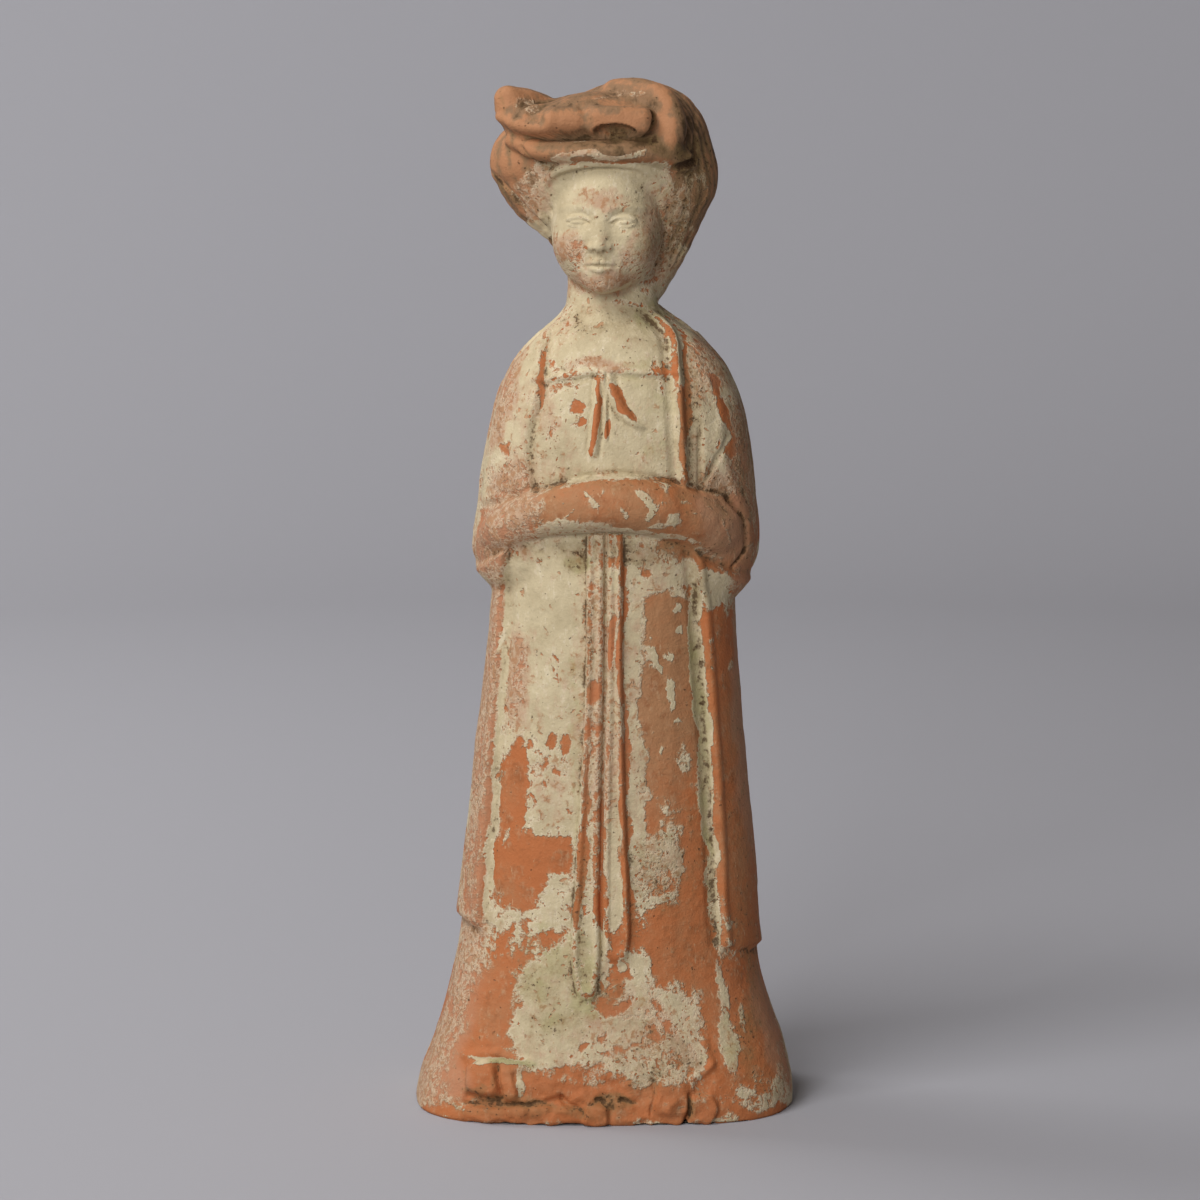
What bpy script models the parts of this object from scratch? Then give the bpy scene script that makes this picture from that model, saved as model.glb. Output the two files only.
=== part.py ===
# Standing court lady figure in press-moulded, low-fired clay: one closed piece of clay
# that stands on the flat underside of its flared skirt.
#
# The figure faces -Y and stands on z = 0. Its form and carving are laid out below in
# millimetres on a figure 325 mm tall, and figure_height sets the real size of the whole.

import math

import bpy
import bmesh
import numpy as np

# Driving dimensions

figure_height = 0.325  # metres, from the sole to the top of the hair
columns = 196  # vertical lines of points around the figure
rings = 270  # rings of points from the crown to the sole
triangle_limit = 9600  # faces that the finished solid keeps
sole_band = 0.3  # millimetres above the sole that are pressed flat onto it

clay_colour = (0.43, 0.20, 0.105, 1.0)
clay_roughness = 0.86


# Blending and curve helpers

def smooth_step(low, high, value):
    share = np.clip((value - low) / (high - low), 0.0, 1.0)
    return share * share * (3.0 - 2.0 * share)


def bump(value, centre, half_width):
    share = np.clip(np.abs(value - centre) / half_width, 0.0, 1.0)
    return (1.0 - share * share) ** 2


def merge(first, second, softness):
    share = np.clip(0.5 + 0.5 * (second - first) / softness, 0.0, 1.0)
    return second + (first - second) * share - softness * share * (1.0 - share)


def carve(solid, tool, softness):
    return -merge(-solid, tool, softness)


def curve_at(stations, at, column=1):
    # a smooth curve through the stations' values, held level past both ends
    table = np.array(stations, float)
    table = table[np.argsort(table[:, 0])]
    key, value = table[:, 0], table[:, column]
    slope = np.gradient(value, key)
    at = np.clip(at, key[0], key[-1])
    i = np.clip(np.searchsorted(key, at) - 1, 0, len(key) - 2)
    gap = key[i + 1] - key[i]
    s = (at - key[i]) / gap
    rise = (1 + 2 * s) * (1 - s) ** 2 * value[i] + s * s * (3 - 2 * s) * value[i + 1]
    return rise + gap * (s * (1 - s) ** 2 * slope[i] - s * s * (1 - s) * slope[i + 1])


# Simple clay shapes: each gives the distance from its skin, negative inside

def ellipsoid(at, centre, radii, turn=0.0):
    x, y, z = (a - c for a, c in zip(at, centre))
    if turn:
        c, s = np.cos(turn), np.sin(turn)
        x, z = c * x + s * z, c * z - s * x
    near = np.sqrt((x / radii[0]) ** 2 + (y / radii[1]) ** 2 + (z / radii[2]) ** 2)
    steep = np.sqrt((x / radii[0] ** 2) ** 2 + (y / radii[1] ** 2) ** 2 + (z / radii[2] ** 2) ** 2)
    return near * (near - 1.0) / np.maximum(steep, 1e-6)


def roll(at, start, end, start_radius, end_radius):
    along = [e - s for s, e in zip(start, end)]
    offset = [a - s for a, s in zip(at, start)]
    length = sum(a * a for a in along)
    share = np.clip(sum(o * a for o, a in zip(offset, along)) / length, 0.0, 1.0)
    away = np.sqrt(sum((o - share * a) ** 2 for o, a in zip(offset, along)))
    return away - (start_radius + (end_radius - start_radius) * share)


def rope(at, stops, tall=1.0, pieces=3):
    # a bar along a smooth line through the stops, which are (x, y, z, radius), tall times as high as deep
    at = (at[0], at[1], at[2] / tall)
    stops = [(x, y, z / tall, radius) for x, y, z, radius in stops]
    key = np.arange(len(stops))
    table = [(k, *stop) for k, stop in zip(key, stops)]
    fine = np.linspace(0, key[-1], pieces * key[-1] + 1)
    knots = np.stack([curve_at(table, fine, c) for c in (1, 2, 3, 4)], 1)
    shape = None
    for a, b in zip(knots, knots[1:]):
        part = roll(at, a[:3], b[:3], a[3], b[3])
        shape = part if shape is None else np.minimum(shape, part)
    return shape * min(tall, 1.0)


def slab(at, centre, halves, rounding):
    # a block with rounded edges: halves are its half sizes across, deep and high
    over = [np.abs(a - c) - h + rounding for a, c, h in zip(at, centre, halves)]
    outside = np.sqrt(sum(np.maximum(o, 0.0) ** 2 for o in over))
    inside = np.minimum(np.maximum(np.maximum(over[0], over[1]), over[2]), 0.0)
    return outside + inside - rounding


def loft(at, stations, corners):
    # stations are (height, left, right, front, back), corners are (height, squareness of the outline)
    x, y, z = at
    squareness = curve_at(corners, z)
    left, right, front, back = (curve_at(stations, z, c) for c in (1, 2, 3, 4))
    x = x - (left + right) / 2
    y = y - (front + back) / 2
    ring = (np.abs(2 * x / (right - left)) ** squareness + np.abs(2 * y / (back - front)) ** squareness)
    ring = np.maximum(ring, 1e-9) ** (1.0 / squareness)
    return np.sqrt(x * x + y * y) * (1.0 - 1.0 / ring)


def grain(at, size, seed):
    # smooth lattice noise from -1 to 1
    cells = [a / size + 17.3 * (k + 1) + 3.1 * seed for k, a in enumerate(at)]
    low = [np.floor(c).astype(np.int64) for c in cells]
    share = [c - l for c, l in zip(cells, low)]
    share = [s * s * (3 - 2 * s) for s in share]
    total = 0.0
    for corner in range(8):
        bits = [corner >> k & 1 for k in range(3)]
        h = sum((l + b) * m for l, b, m in zip(low, bits, (73856093, 19349663, 83492791)))
        h = (h + seed * 2654435761) & 0xFFFFFFFF
        h = ((h ^ (h >> 15)) * 2246822519) & 0xFFFFFFFF
        h = ((h ^ (h >> 13)) * 3266489917) & 0xFFFFFFFF
        value = (h ^ (h >> 16)) / 2147483648.0 - 1.0
        weight = 1.0
        for s, b in zip(share, bits):
            weight = weight * (s if b else 1.0 - s)
        total = total + value * weight
    return total


# The garments, in millimetres: (height, left, right, front, back)

sole_height = 4.5  # where the skirt is cut flat
skirt_top, shawl_bottom, shawl_top = 205.0, 168.0, 278.0
shawl_softness, sleeve_softness, neck_softness = 1.5, 1.2, 2.0  # how far each form melts into its neighbour
skirt_corners = [(0, 3.3), (14, 3.1), (30, 2.7), (60, 2.35), (110, 2.2)]
shawl_corners = [(160, 2.2), (260, 2.2)]
skirt_rings = [
    (0, -60.6, 60.2, -41.8, 41.8), (5, -60.4, 60.9, -42.2, 42.0), (12, -58.8, 60.6, -41.4, 41.0),
    (22, -55.0, 58.2, -39.6, 39.0), (32, -51.9, 54.7, -37.4, 37.0), (44, -48.8, 51.0, -35.4, 35.0),
    (56, -46.3, 49.0, -34.0, 33.0), (75, -43.9, 47.6, -32.8, 31.0), (100, -41.0, 45.2, -31.4, 29.5),
    (130, -37.6, 42.2, -30.0, 28.0), (160, -34.2, 40.2, -29.0, 27.0), (200, -32.0, 39.0, -28.0, 26.0),
]
shawl_rings = [
    (166, -31.0, 39.0, -24.0, 24.0), (171, -34.4, 43.6, -25.5, 26.0), (175, -38.2, 46.8, -26.5, 27.5),
    (180, -40.7, 48.6, -27.4, 28.5), (186, -40.6, 49.0, -28.0, 28.8), (198, -38.8, 47.8, -28.4, 28.8),
    (208, -37.5, 46.8, -28.4, 28.4), (217, -36.0, 45.7, -28.2, 27.8), (226, -34.0, 44.0, -27.4, 26.6),
    (234, -31.6, 41.3, -25.8, 25.0), (240, -28.8, 38.0, -24.2, 23.2), (245, -25.0, 33.6, -22.2, 21.2),
    (250, -19.9, 28.4, -19.2, 18.6), (254, -15.2, 22.6, -15.8, 16.4), (258, -12.2, 17.8, -12.8, 14.8),
    (263, -11.3, 17.0, -11.8, 14.4), (280, -12.0, 17.6, -12.0, 15.0),
]
sleeve_stops = [
    (-33.0, -6.0, 185.5, 7.4), (-29.5, -15.5, 190.0, 7.6), (-21.0, -23.5, 195.2, 7.4),
    (-10.0, -28.2, 198.0, 8.0), (2.0, -29.6, 199.2, 8.3), (12.0, -28.6, 198.4, 8.4),
    (22.5, -24.6, 196.0, 8.8), (31.5, -18.0, 191.4, 9.4), (37.0, -9.0, 187.2, 9.6),
]


band_top = [(-60, 190.0), (-34, 197.0), (-21.5, 201.6), (-11, 205.2), (2.5, 207.6), (20, 205.3), (31, 202.2),
            (38, 199.4), (42.5, 194.0), (60, 188.0)]
band_bottom = [(-60, 172.0), (-40, 178.0), (-34, 182.6), (-29, 186.7), (-22, 189.0), (-5, 191.0), (3, 190.8),
               (13, 189.7), (23, 187.6), (33, 181.8), (40, 178.0), (60, 172.0)]


foot_width = 121.3  # across the flared foot of the skirt
sleeves_width = 89.6  # across both sleeves at their widest
foot_reach = (160.0, 10.0)  # heights between which the flare grows to its full width
sleeves_reach = ((166.0, 180.0), (262.0, 236.0))  # the same below and above the sleeves


def at_rest_width(x, z):
    # maps points of a wider or narrower figure back onto the tables above
    foot = foot_width / (skirt_rings[1][2] - skirt_rings[1][1]) - 1.0
    sleeves = sleeves_width / (shawl_rings[4][2] - shawl_rings[4][1]) - 1.0
    below, above = sleeves_reach
    return x / (1.0 + foot * smooth_step(*foot_reach, z)
                + sleeves * smooth_step(*below, z) * smooth_step(*above, z))


def sleeve_clay(at):
    return rope(at, sleeve_stops)


# The head, in its own frame: across, out of the face (minus), and up from the chin

head = dict(place=(2.2, -0.5, 263.6), turn=0.14, width=35.5, height=40.0)
face = dict(
    # half sizes of the forms across, deep and high, or radii where a form tapers
    skull_depth=21.0, jaw_depth=13.6, chin=(5.6, 5.0, 4.4), cheek=(6.2, 6.4, 6.6), socket=(4.9, 4.4, 3.0),
    eyeball=(3.9, 2.3, 2.1), bridge=(1.6, 2.1), wing=(1.7, 2.0, 1.5), upper_lip=(1.15, 0.5),
    lower_lip=(1.3, 0.6), lip_pad=(6.6, 4.4, 4.4), ear=(2.2, 3.4, 6.0),
)
face_softness = dict(jaw=5.0, chin=4.0, cheek=3.5, socket=2.6, eyeball=0.8, bridge=2.2, wing=1.0,
                     lip_pad=3.0, lips=0.7, ear=1.2)


def head_frame(at):
    x, y, z = (a - c for a, c in zip(at, head["place"]))
    c, s = np.cos(head["turn"]), np.sin(head["turn"])
    return c * x - s * y, s * x + c * y, z


def face_clay(at):
    u, v, w = head_frame(at)
    here = (u, v, w)
    half = head["width"] / 2
    tall = head["height"]
    eye = head["width"] / 5  # five eyes make the width of a face
    third = tall / 3  # hairline to brow, brow to nose, nose to chin
    brow, nose, mouth = 2 * third, third, third * 2 / 3
    look = brow - 0.11 * tall  # height of the eyes
    ball = (eye, -19.6, look)
    side = abs(u)
    mirrored = (side, v, w)
    soft = face_softness
    skull = ellipsoid(here, (0, -1.5, 0.62 * tall), (half, face["skull_depth"], 0.60 * tall))
    jaw = ellipsoid(here, (0, -9.5, 0.40 * tall), (half * 0.90, face["jaw_depth"], 0.40 * tall))
    shape = merge(skull, jaw, soft["jaw"])
    shape = merge(shape, ellipsoid(here, (0, -17.4, 0.115 * tall), face["chin"]), soft["chin"])
    shape = merge(shape, ellipsoid(mirrored, (8.4, -15.0, 0.39 * tall), face["cheek"]), soft["cheek"])
    shape = carve(shape, ellipsoid(mirrored, (eye, -25.4, look + 0.2), face["socket"]), soft["socket"])
    shape = merge(shape, ellipsoid(mirrored, ball, face["eyeball"]), soft["eyeball"])
    bridge = roll(here, (0, -19.6, look + 3.4), (0, -24.2, nose + 1.7), *face["bridge"])
    shape = merge(shape, bridge, soft["bridge"])
    shape = merge(shape, ellipsoid(mirrored, (2.3, -22.6, nose + 1.3), face["wing"]), soft["wing"])
    upper = roll(mirrored, (0.9, -22.6, mouth + 1.15), (4.6, -21.0, mouth + 0.35), *face["upper_lip"])
    lower = roll(mirrored, (0.0, -22.3, mouth - 1.35), (3.6, -20.9, mouth - 0.6), *face["lower_lip"])
    shape = merge(shape, ellipsoid(here, (0, -17.8, mouth), face["lip_pad"]), soft["lip_pad"])
    shape = merge(merge(shape, upper, soft["lips"]), lower, soft["lips"])
    ear = ellipsoid(mirrored, (half - 0.6, 0.5, 0.48 * tall), face["ear"])
    return merge(shape, ear, soft["ear"])


face_marks = dict(
    # half widths and depths of the lines drawn on the face
    upper_rim=(0.8, 0.42), lower_rim=(0.7, 0.24), upper_slit=(0.6, 0.34), lower_slit=(0.55, 0.16),
    crease=(0.7, 0.22), brow=(1.5, 0.34), mouth=(0.65, 0.55), lip_groove=(1.1, 0.22), nostril=(0.8, 0.7),
)


def face_mark(name, off):
    half_width, depth = face_marks[name]
    return depth * bump(off, 0.0, half_width)


def face_lines(at):
    # eyelids, mouth and nostrils, as depths on the face's front
    u, v, w = head_frame(at)
    eye = head["width"] / 5
    third = head["height"] / 3
    look = 2 * third - 0.11 * head["height"]
    mouth = third * 2 / 3
    front = smooth_step(-10.0, -15.0, v)
    across = (abs(u) - eye) / 3.9
    inside = smooth_step(1.12, 0.86, abs(across))
    upper_lid = look + 1.15 * (1 - across ** 2) - 0.1
    lower_lid = look - 0.95 * (1 - across ** 2) - 0.15
    rim = face_mark("upper_rim", w - upper_lid - 0.5) + face_mark("lower_rim", w - lower_lid + 0.45)
    slit = face_mark("upper_slit", w - upper_lid + 0.45) + face_mark("lower_slit", w - lower_lid - 0.2)
    crease = face_mark("crease", w - upper_lid - 1.75)
    arch = 2 * third - 0.9 + 1.3 * (1 - ((abs(u) - eye - 0.6) / 5.6) ** 2)
    brow = face_mark("brow", w - arch) * smooth_step(6.4, 4.6, abs(abs(u) - eye - 0.6))
    lips = face_mark("mouth", w - mouth - 0.05 + 0.012 * u * u) * smooth_step(6.0, 4.4, abs(u))
    groove = face_mark("lip_groove", u) * smooth_step(mouth + 2.0, mouth + 2.8, w)
    groove = groove * smooth_step(third + 0.4, third - 0.6, w)
    nostril = face_mark("nostril", w - third + 0.1) * bump(abs(u), 1.7, 0.9)
    return front * ((rim - slit - crease) * inside + brow - lips - groove - nostril)


# The hair: a wide fan of combed hair with a topknot folded forward over the brow

hair = dict(
    crown=(2.5, 7.0, 302.5), crown_radii=(32.6, 25.5, 22.0),
    dome=(9.5, 3.5, 311.0), dome_radii=(23.0, 22.0, 18.2),
    right_lock=[(12.0, 5.0, 268.0, 9.0), (17.0, 4.0, 282.0, 11.5), (21.5, 2.0, 297.0, 13.8)],
    left_lock=[(-11.5, 4.0, 283.5, 7.5), (-19.0, 3.0, 294.0, 10.5), (-22.5, 2.0, 303.5, 13.0)],
    nape=[(3.0, 8.0, 266.0, 12.0), (3.0, 14.0, 284.0, 15.5)],
    brow_band=[(-26.5, -9.0, 310.5, 4.0), (-19.0, -14.8, 307.6, 5.2), (-9.0, -18.4, 307.2, 5.8),
               (3.0, -19.6, 307.4, 5.8), (13.0, -17.8, 306.9, 5.8), (23.0, -11.5, 304.5, 6.5)],
    hairline=[(-19.4, -5.6, 287.0, 0.7), (-18.8, -8.4, 294.0, 1.2), (-15.6, -14.8, 300.4, 1.3),
              (-9.5, -18.9, 303.2, 1.5), (-0.5, -20.7, 304.3, 1.6), (8.5, -19.5, 303.5, 1.5),
              (15.0, -15.9, 300.6, 1.3), (17.8, -12.4, 294.5, 1.1), (18.6, -10.5, 287.0, 0.7)],
    knot_left=((-11.9, -14.2, 316.5), (7.0, 8.4, 3.9)), knot_right=((4.8, -14.8, 317.0), (11.2, 8.8, 4.3)),
    knot_rounding=3.5, knot_warp=1.5,
    knot_top=(-1.0, -5.0, 319.4), knot_top_radii=(21.0, 13.5, 5.6),
    curl=[(4.0, -3.0, 325.4, 3.6), (12.0, -8.0, 325.6, 4.0), (18.4, -12.6, 322.6, 4.3),
          (21.2, -15.0, 316.8, 4.4), (20.4, -15.9, 311.4, 4.4), (17.0, -16.8, 308.6, 3.2)],
    lobe=[(-25.0, -8.0, 313.0, 5.6), (-28.6, -9.6, 318.6, 5.0), (-29.4, -10.0, 323.6, 3.9)],
    lobe_top=[(-28.6, -9.0, 323.4, 3.9), (-24.0, -6.5, 322.8, 3.8), (-19.6, -4.0, 321.2, 3.8)],
    filling=(-21.0, -11.0, 317.0), filling_radii=(7.5, 7.0, 4.6),
    flap=[(-31.0, -11.0, 317.2, 3.0), (-26.0, -14.6, 314.8, 3.6), (-19.0, -17.4, 313.6, 3.8),
          (-11.0, -18.0, 313.8, 3.4)],
)
hair_softness = dict(
    # how far each form melts into the ones before it
    dome=5.0, right_lock=6.0, left_lock=5.0, nape=6.0, brow_band=1.6, curl=3.5, knot=1.2, knot_left=2.5,
    knot_right=1.4, filling=2.0, lobe=3.0, lobe_top=2.0, flap=1.4, hairline=1.1, face=1.2, hollow=0.9,
)
band_squash = 0.6  # height to depth of the band over the brow
flap_squash = 0.7  # the same for the flap under the knot
cave = dict(place=(3.0, -24.6, 313.2), radii=(7.6, 5.0, 3.3))
hollows = [
    # dark openings in the hair: start, end and width
    ((-19.0, -23.0, 312.0), (-8.5, -25.6, 311.6), 1.0),
    ((-9.0, -25.6, 311.7), (9.5, -24.6, 311.2), 0.9),
    ((15.4, -21.6, 312.2), (16.2, -20.2, 318.6), 2.0),
    ((-6.8, -24.8, 312.4), (-5.2, -24.0, 318.6), 1.1),
    ((-5.2, -24.0, 318.8), (-7.2, -19.0, 321.6), 0.8),
    ((-22.4, -17.6, 320.4), (-18.6, -15.6, 323.0), 2.2),
    ((22.6, -18.6, 301.6), (28.2, -13.6, 304.4), 1.7),
    ((28.2, -13.6, 304.4), (30.6, -9.6, 311.0), 1.6),
    ((14.4, -20.6, 300.0), (22.6, -17.2, 300.8), 1.2),
    ((22.6, -15.6, 308.0), (26.2, -12.8, 314.0), 1.0),
    ((-25.8, -16.0, 308.4), (-22.4, -16.8, 304.6), 0.9),
    ((-22.4, -16.8, 304.6), (-16.0, -19.0, 302.8), 0.8),
]


def knot_clay(at):
    # the folded knot, pinched into uneven lumps
    soft = hair_softness
    warp = hair["knot_warp"]
    at = tuple(a + warp * grain(at, 9.0, 11 + k) for k, a in enumerate(at))
    top = ellipsoid(at, hair["knot_top"], hair["knot_top_radii"])
    knot = merge(slab(at, *hair["knot_left"], hair["knot_rounding"]), top, soft["knot_left"])
    knot = merge(knot, slab(at, *hair["knot_right"], hair["knot_rounding"]), soft["knot_right"])
    knot = merge(knot, ellipsoid(at, hair["filling"], hair["filling_radii"]), soft["filling"])
    for name in ("lobe", "lobe_top"):
        knot = merge(knot, rope(at, hair[name]), soft[name])
    knot = merge(knot, rope(at, hair["flap"], flap_squash), soft["flap"])
    return carve(knot, ellipsoid(at, cave["place"], cave["radii"]), soft["hollow"])


def hair_clay(at):
    soft = hair_softness
    shape = ellipsoid(at, hair["crown"], hair["crown_radii"])
    shape = merge(shape, ellipsoid(at, hair["dome"], hair["dome_radii"]), soft["dome"])
    for name in ("right_lock", "left_lock", "nape"):
        shape = merge(shape, rope(at, hair[name]), soft[name])
    shape = merge(shape, rope(at, hair["brow_band"], band_squash), soft["brow_band"])
    shape = merge(shape, rope(at, hair["curl"]), soft["curl"])
    return merge(shape, knot_clay(at), soft["knot"])


def garment_clay(at):
    skirt = np.maximum(loft(at, skirt_rings, skirt_corners), at[2] - skirt_top)
    shawl = np.maximum(loft(at, shawl_rings, shawl_corners), at[2] - shawl_top)
    return merge(skirt, np.maximum(shawl, shawl_bottom - at[2]), shawl_softness)


def head_clay(at):
    shape = merge(face_clay(at), hair_clay(at), hair_softness["face"])
    shape = merge(shape, rope(at, hair["hairline"]), hair_softness["hairline"])
    for start, end, width in hollows:
        shape = carve(shape, roll(at, start, end, width, width), hair_softness["hollow"])
    return shape


def clay(at):
    # the whole figure's broad form, each part felt for only near its own height
    parts = ((garment_clay, -99.0, 281.0, 0.0), (sleeve_clay, 168.0, 218.0, sleeve_softness),
             (head_clay, 250.0, 399.0, neck_softness))
    at = (at_rest_width(at[0], at[2]), at[1], at[2])
    shape = np.full(at[2].shape, 30.0)
    for part, low, high, softness in parts:
        here = np.nonzero((at[2] > low) & (at[2] < high))[0]
        gap = part(tuple(a[here] for a in at))
        shape[here] = merge(shape[here], gap, softness) if softness else gap
    return shape


# Carved lines and raised strips, as heights in millimetres on the broad form

coat_edge = dict(
    right=[(56, 37.6), (65, 36.4), (91, 35.2), (119, 33.4), (144, 31.6), (170, 29.6), (186, 28.0)],
    left=[(60, 38.6), (75, 37.2), (94, 35.9), (113, 34.2), (138, 32.4), (157, 31.3), (176, 30.3)],
    hem=((-50, 65.0), (-38, 63.0), (37, 58.0), (50, 54.5)), thickness=2.0,
    right_rim=(1.3, 1.7, 0.7), left_rim=(1.3, 1.7, 0.5),  # how far inside the edge, half width, rise
    right_gutter=(-2.0, 2.6, 0.9), left_gutter=(-1.6, 2.0, 0.5),  # the same for the grooves beside it
)
ribbons = dict(
    first_left=[(43, -7.8), (51, -9.4), (81, -8.8), (107, -7.4), (132, -5.9), (157, -5.3), (190, -4.9)],
    first_right=[(43, -2.6), (52, -1.3), (75, -1.2), (107, -0.8), (138, 0.0), (190, 0.4)],
    second_right=[(55, 7.0), (61, 8.2), (75, 8.1), (107, 6.9), (138, 6.2), (190, 6.2)],
    first_end=43.6, second_end=55.6, thickness=1.0, rim=0.75, rim_width=1.5,
    ridge=(1.2, 1.5, 0.55), seam=(-0.4, 0.8, 0.35), overlap=0.9,
)
shawl_edge = dict(
    left=[(198, -22.4), (223, -22.1), (229, -20.2), (239, -18.5), (250, -17.4), (257, -11.5)],
    right=[(200, 25.0), (216, 24.1), (228, 23.4), (241, 22.2), (252, 20.0), (257, 15.0)],
    thickness=0.8, left_groove=(-1.3, 1.8, 0.55), left_rim=(1.4, 1.6, 0.45), right_ridge=(0.2, 2.3, 1.7),
    inner_groove=(-2.6, 2.6, 0.75), outer_groove=(4.2, 3.4, 0.8),
)
bow = dict(
    top=[(-22, 236.6), (-10, 238.6), (0, 240.2), (11, 239.6), (24, 239.2)],
    left_tail=[(214, -3.1), (226, -2.2), (238, -1.2)],
    short_tail=[(219, 0.9), (230, 0.6), (238, 0.2)],
    right_tail=[(222.6, 11.2), (224.5, 8.6), (227.5, 6.0), (232.5, 3.2), (238.5, 0.9)],
    tail_width=dict(left_tail=2.0, short_tail=1.0, right_tail=2.1),
    tail_rise=dict(left_tail=1.15, short_tail=0.5, right_tail=1.3),
    side_groove=0.3, top_rim=(0.2, 1.6, 0.75), top_groove=(-1.9, 1.4, 0.45), thickness=0.35,
)


def welt(off, sizes):
    # a rounded line beside an edge: sizes are its place, half width and rise
    place, half_width, rise = sizes
    return rise * bump(off, place, half_width)


def strip_height(inside, thickness, rim, rim_width):
    # a flat band with a raised rim: inside is the depth in from its edge
    return thickness * smooth_step(-0.5, 0.5, inside) + rim * bump(inside, 0.85 * rim_width, rim_width)


def coat_relief(x, y, z):
    right = x - curve_at(coat_edge["right"], z)
    left = -x - curve_at(coat_edge["left"], z)
    behind = smooth_step(4.0, 12.0, y) * 6.0 - 3.0
    inside = np.maximum(np.maximum(right, left), behind)
    hem = z - curve_at(coat_edge["hem"], x) - 0.5 * grain((x, y, z * 0), 9.0, 5)
    body = np.minimum(inside, hem)
    height = coat_edge["thickness"] * smooth_step(-0.7, 0.7, body)
    front = smooth_step(2.0, -6.0, y)
    edge = welt(right, coat_edge["right_rim"]) + welt(left, coat_edge["left_rim"])
    gutter = welt(right, coat_edge["right_gutter"]) + welt(left, coat_edge["left_gutter"])
    above_hem = smooth_step(-1.0, 1.0, hem)
    under_band = smooth_step(-0.5, -3.0, z - curve_at(band_bottom, x)) + smooth_step(2.0, 8.0, y)
    return (height + front * above_hem * (edge - gutter)) * np.clip(under_band, 0.0, 1.0)


def ribbon_relief(x, y, z):
    first_left = x - curve_at(ribbons["first_left"], z)
    first_right = curve_at(ribbons["first_right"], z) - x
    second_left = x - curve_at(ribbons["first_right"], z) - ribbons["overlap"]
    second_right = curve_at(ribbons["second_right"], z) - x
    sizes = (ribbons["thickness"], ribbons["rim"], ribbons["rim_width"])
    height = 0.0
    for one, other, end in ((first_left, first_right, ribbons["first_end"]),
                            (second_left, second_right, ribbons["second_end"])):
        inside = merge(merge(one, other, 2.0), z - end, 3.0)
        height = np.maximum(height, strip_height(inside, *sizes))
    lines = welt(second_right, ribbons["ridge"]) - welt(second_left, ribbons["seam"])
    shown = smooth_step(ribbons["second_end"], ribbons["second_end"] + 6.0, z)
    return (height + lines * shown) * smooth_step(0.0, -1.5, z - curve_at(band_bottom, x))


def bodice_relief(x, y, z):
    band = z - curve_at(bow["top"], x)
    between = smooth_step(-24.0, -20.0, x) * smooth_step(25.0, 21.0, x)
    height = (welt(band, bow["top_rim"]) - welt(band, bow["top_groove"])) * between
    height = height + bow["thickness"] * smooth_step(0.4, -0.8, band) * between
    height = height - 0.35 * bump(band + 0.16 * np.abs(x) + 0.6, -1.2, 1.0) * bump(x, -10.0, 9.0)
    for tail, width in bow["tail_width"].items():
        stations = bow[tail]
        off = x - curve_at(stations, z)
        if tail == "right_tail":
            off = off * 0.72
        ends = smooth_step(stations[0][0] - 1.0, stations[0][0] + 1.2, z) * smooth_step(240.5, 238.0, z)
        beside = bow["side_groove"] * bump(abs(off), width, 0.9)
        height = height + (bow["tail_rise"][tail] * bump(off, 0.0, width) - beside) * ends
    return height


def shawl_relief(x, y, z):
    low = smooth_step(-0.5, 1.5, z - curve_at(band_top, x))
    left = curve_at(shawl_edge["left"], z) - x
    right = x - curve_at(shawl_edge["right"], z)
    upper = smooth_step(259.5, 254.0, z)
    height = shawl_edge["thickness"] * smooth_step(-0.8, 0.9, left)
    height = height + welt(left, shawl_edge["left_rim"]) - welt(left, shawl_edge["left_groove"])
    height = height + welt(right, shawl_edge["right_ridge"])
    height = height - welt(right, shawl_edge["inner_groove"]) - welt(right, shawl_edge["outer_groove"])
    return height * low * upper


arms = dict(
    # lines of the sleeves as (height, across)
    outer_fold=[(184, 46.2), (193, 45.2), (203, 41.2), (216, 36.6), (228, 36.4), (240, 31.0)],
    cuff=[(178, 39.5), (182, 43.2), (188, 43.9), (194, 42.2), (199, 38.0)],
    # each line's place, half width and height, and how a leaning one starts (across, height) and leans
    fold=(-0.4, 2.4, 0.6), cuff_groove=(0.8, 1.2, 1.0), upright=(30.3, 1.3, 0.8), slant=(0.0, 1.6, 0.8),
    slant_start=(31.5, 205.0), slant_lean=0.52, left_fold=(0.0, 1.5, 0.45), left_start=(30.5, 200.0),
    left_lean=0.1, crease=(0.0, 1.3, 0.55), crease_start=(28.0, 201.0), crease_lean=0.1,
    rim=(-1.2, 1.5, 0.35), rim_groove=(1.0, 1.6, 0.6),
)


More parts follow.
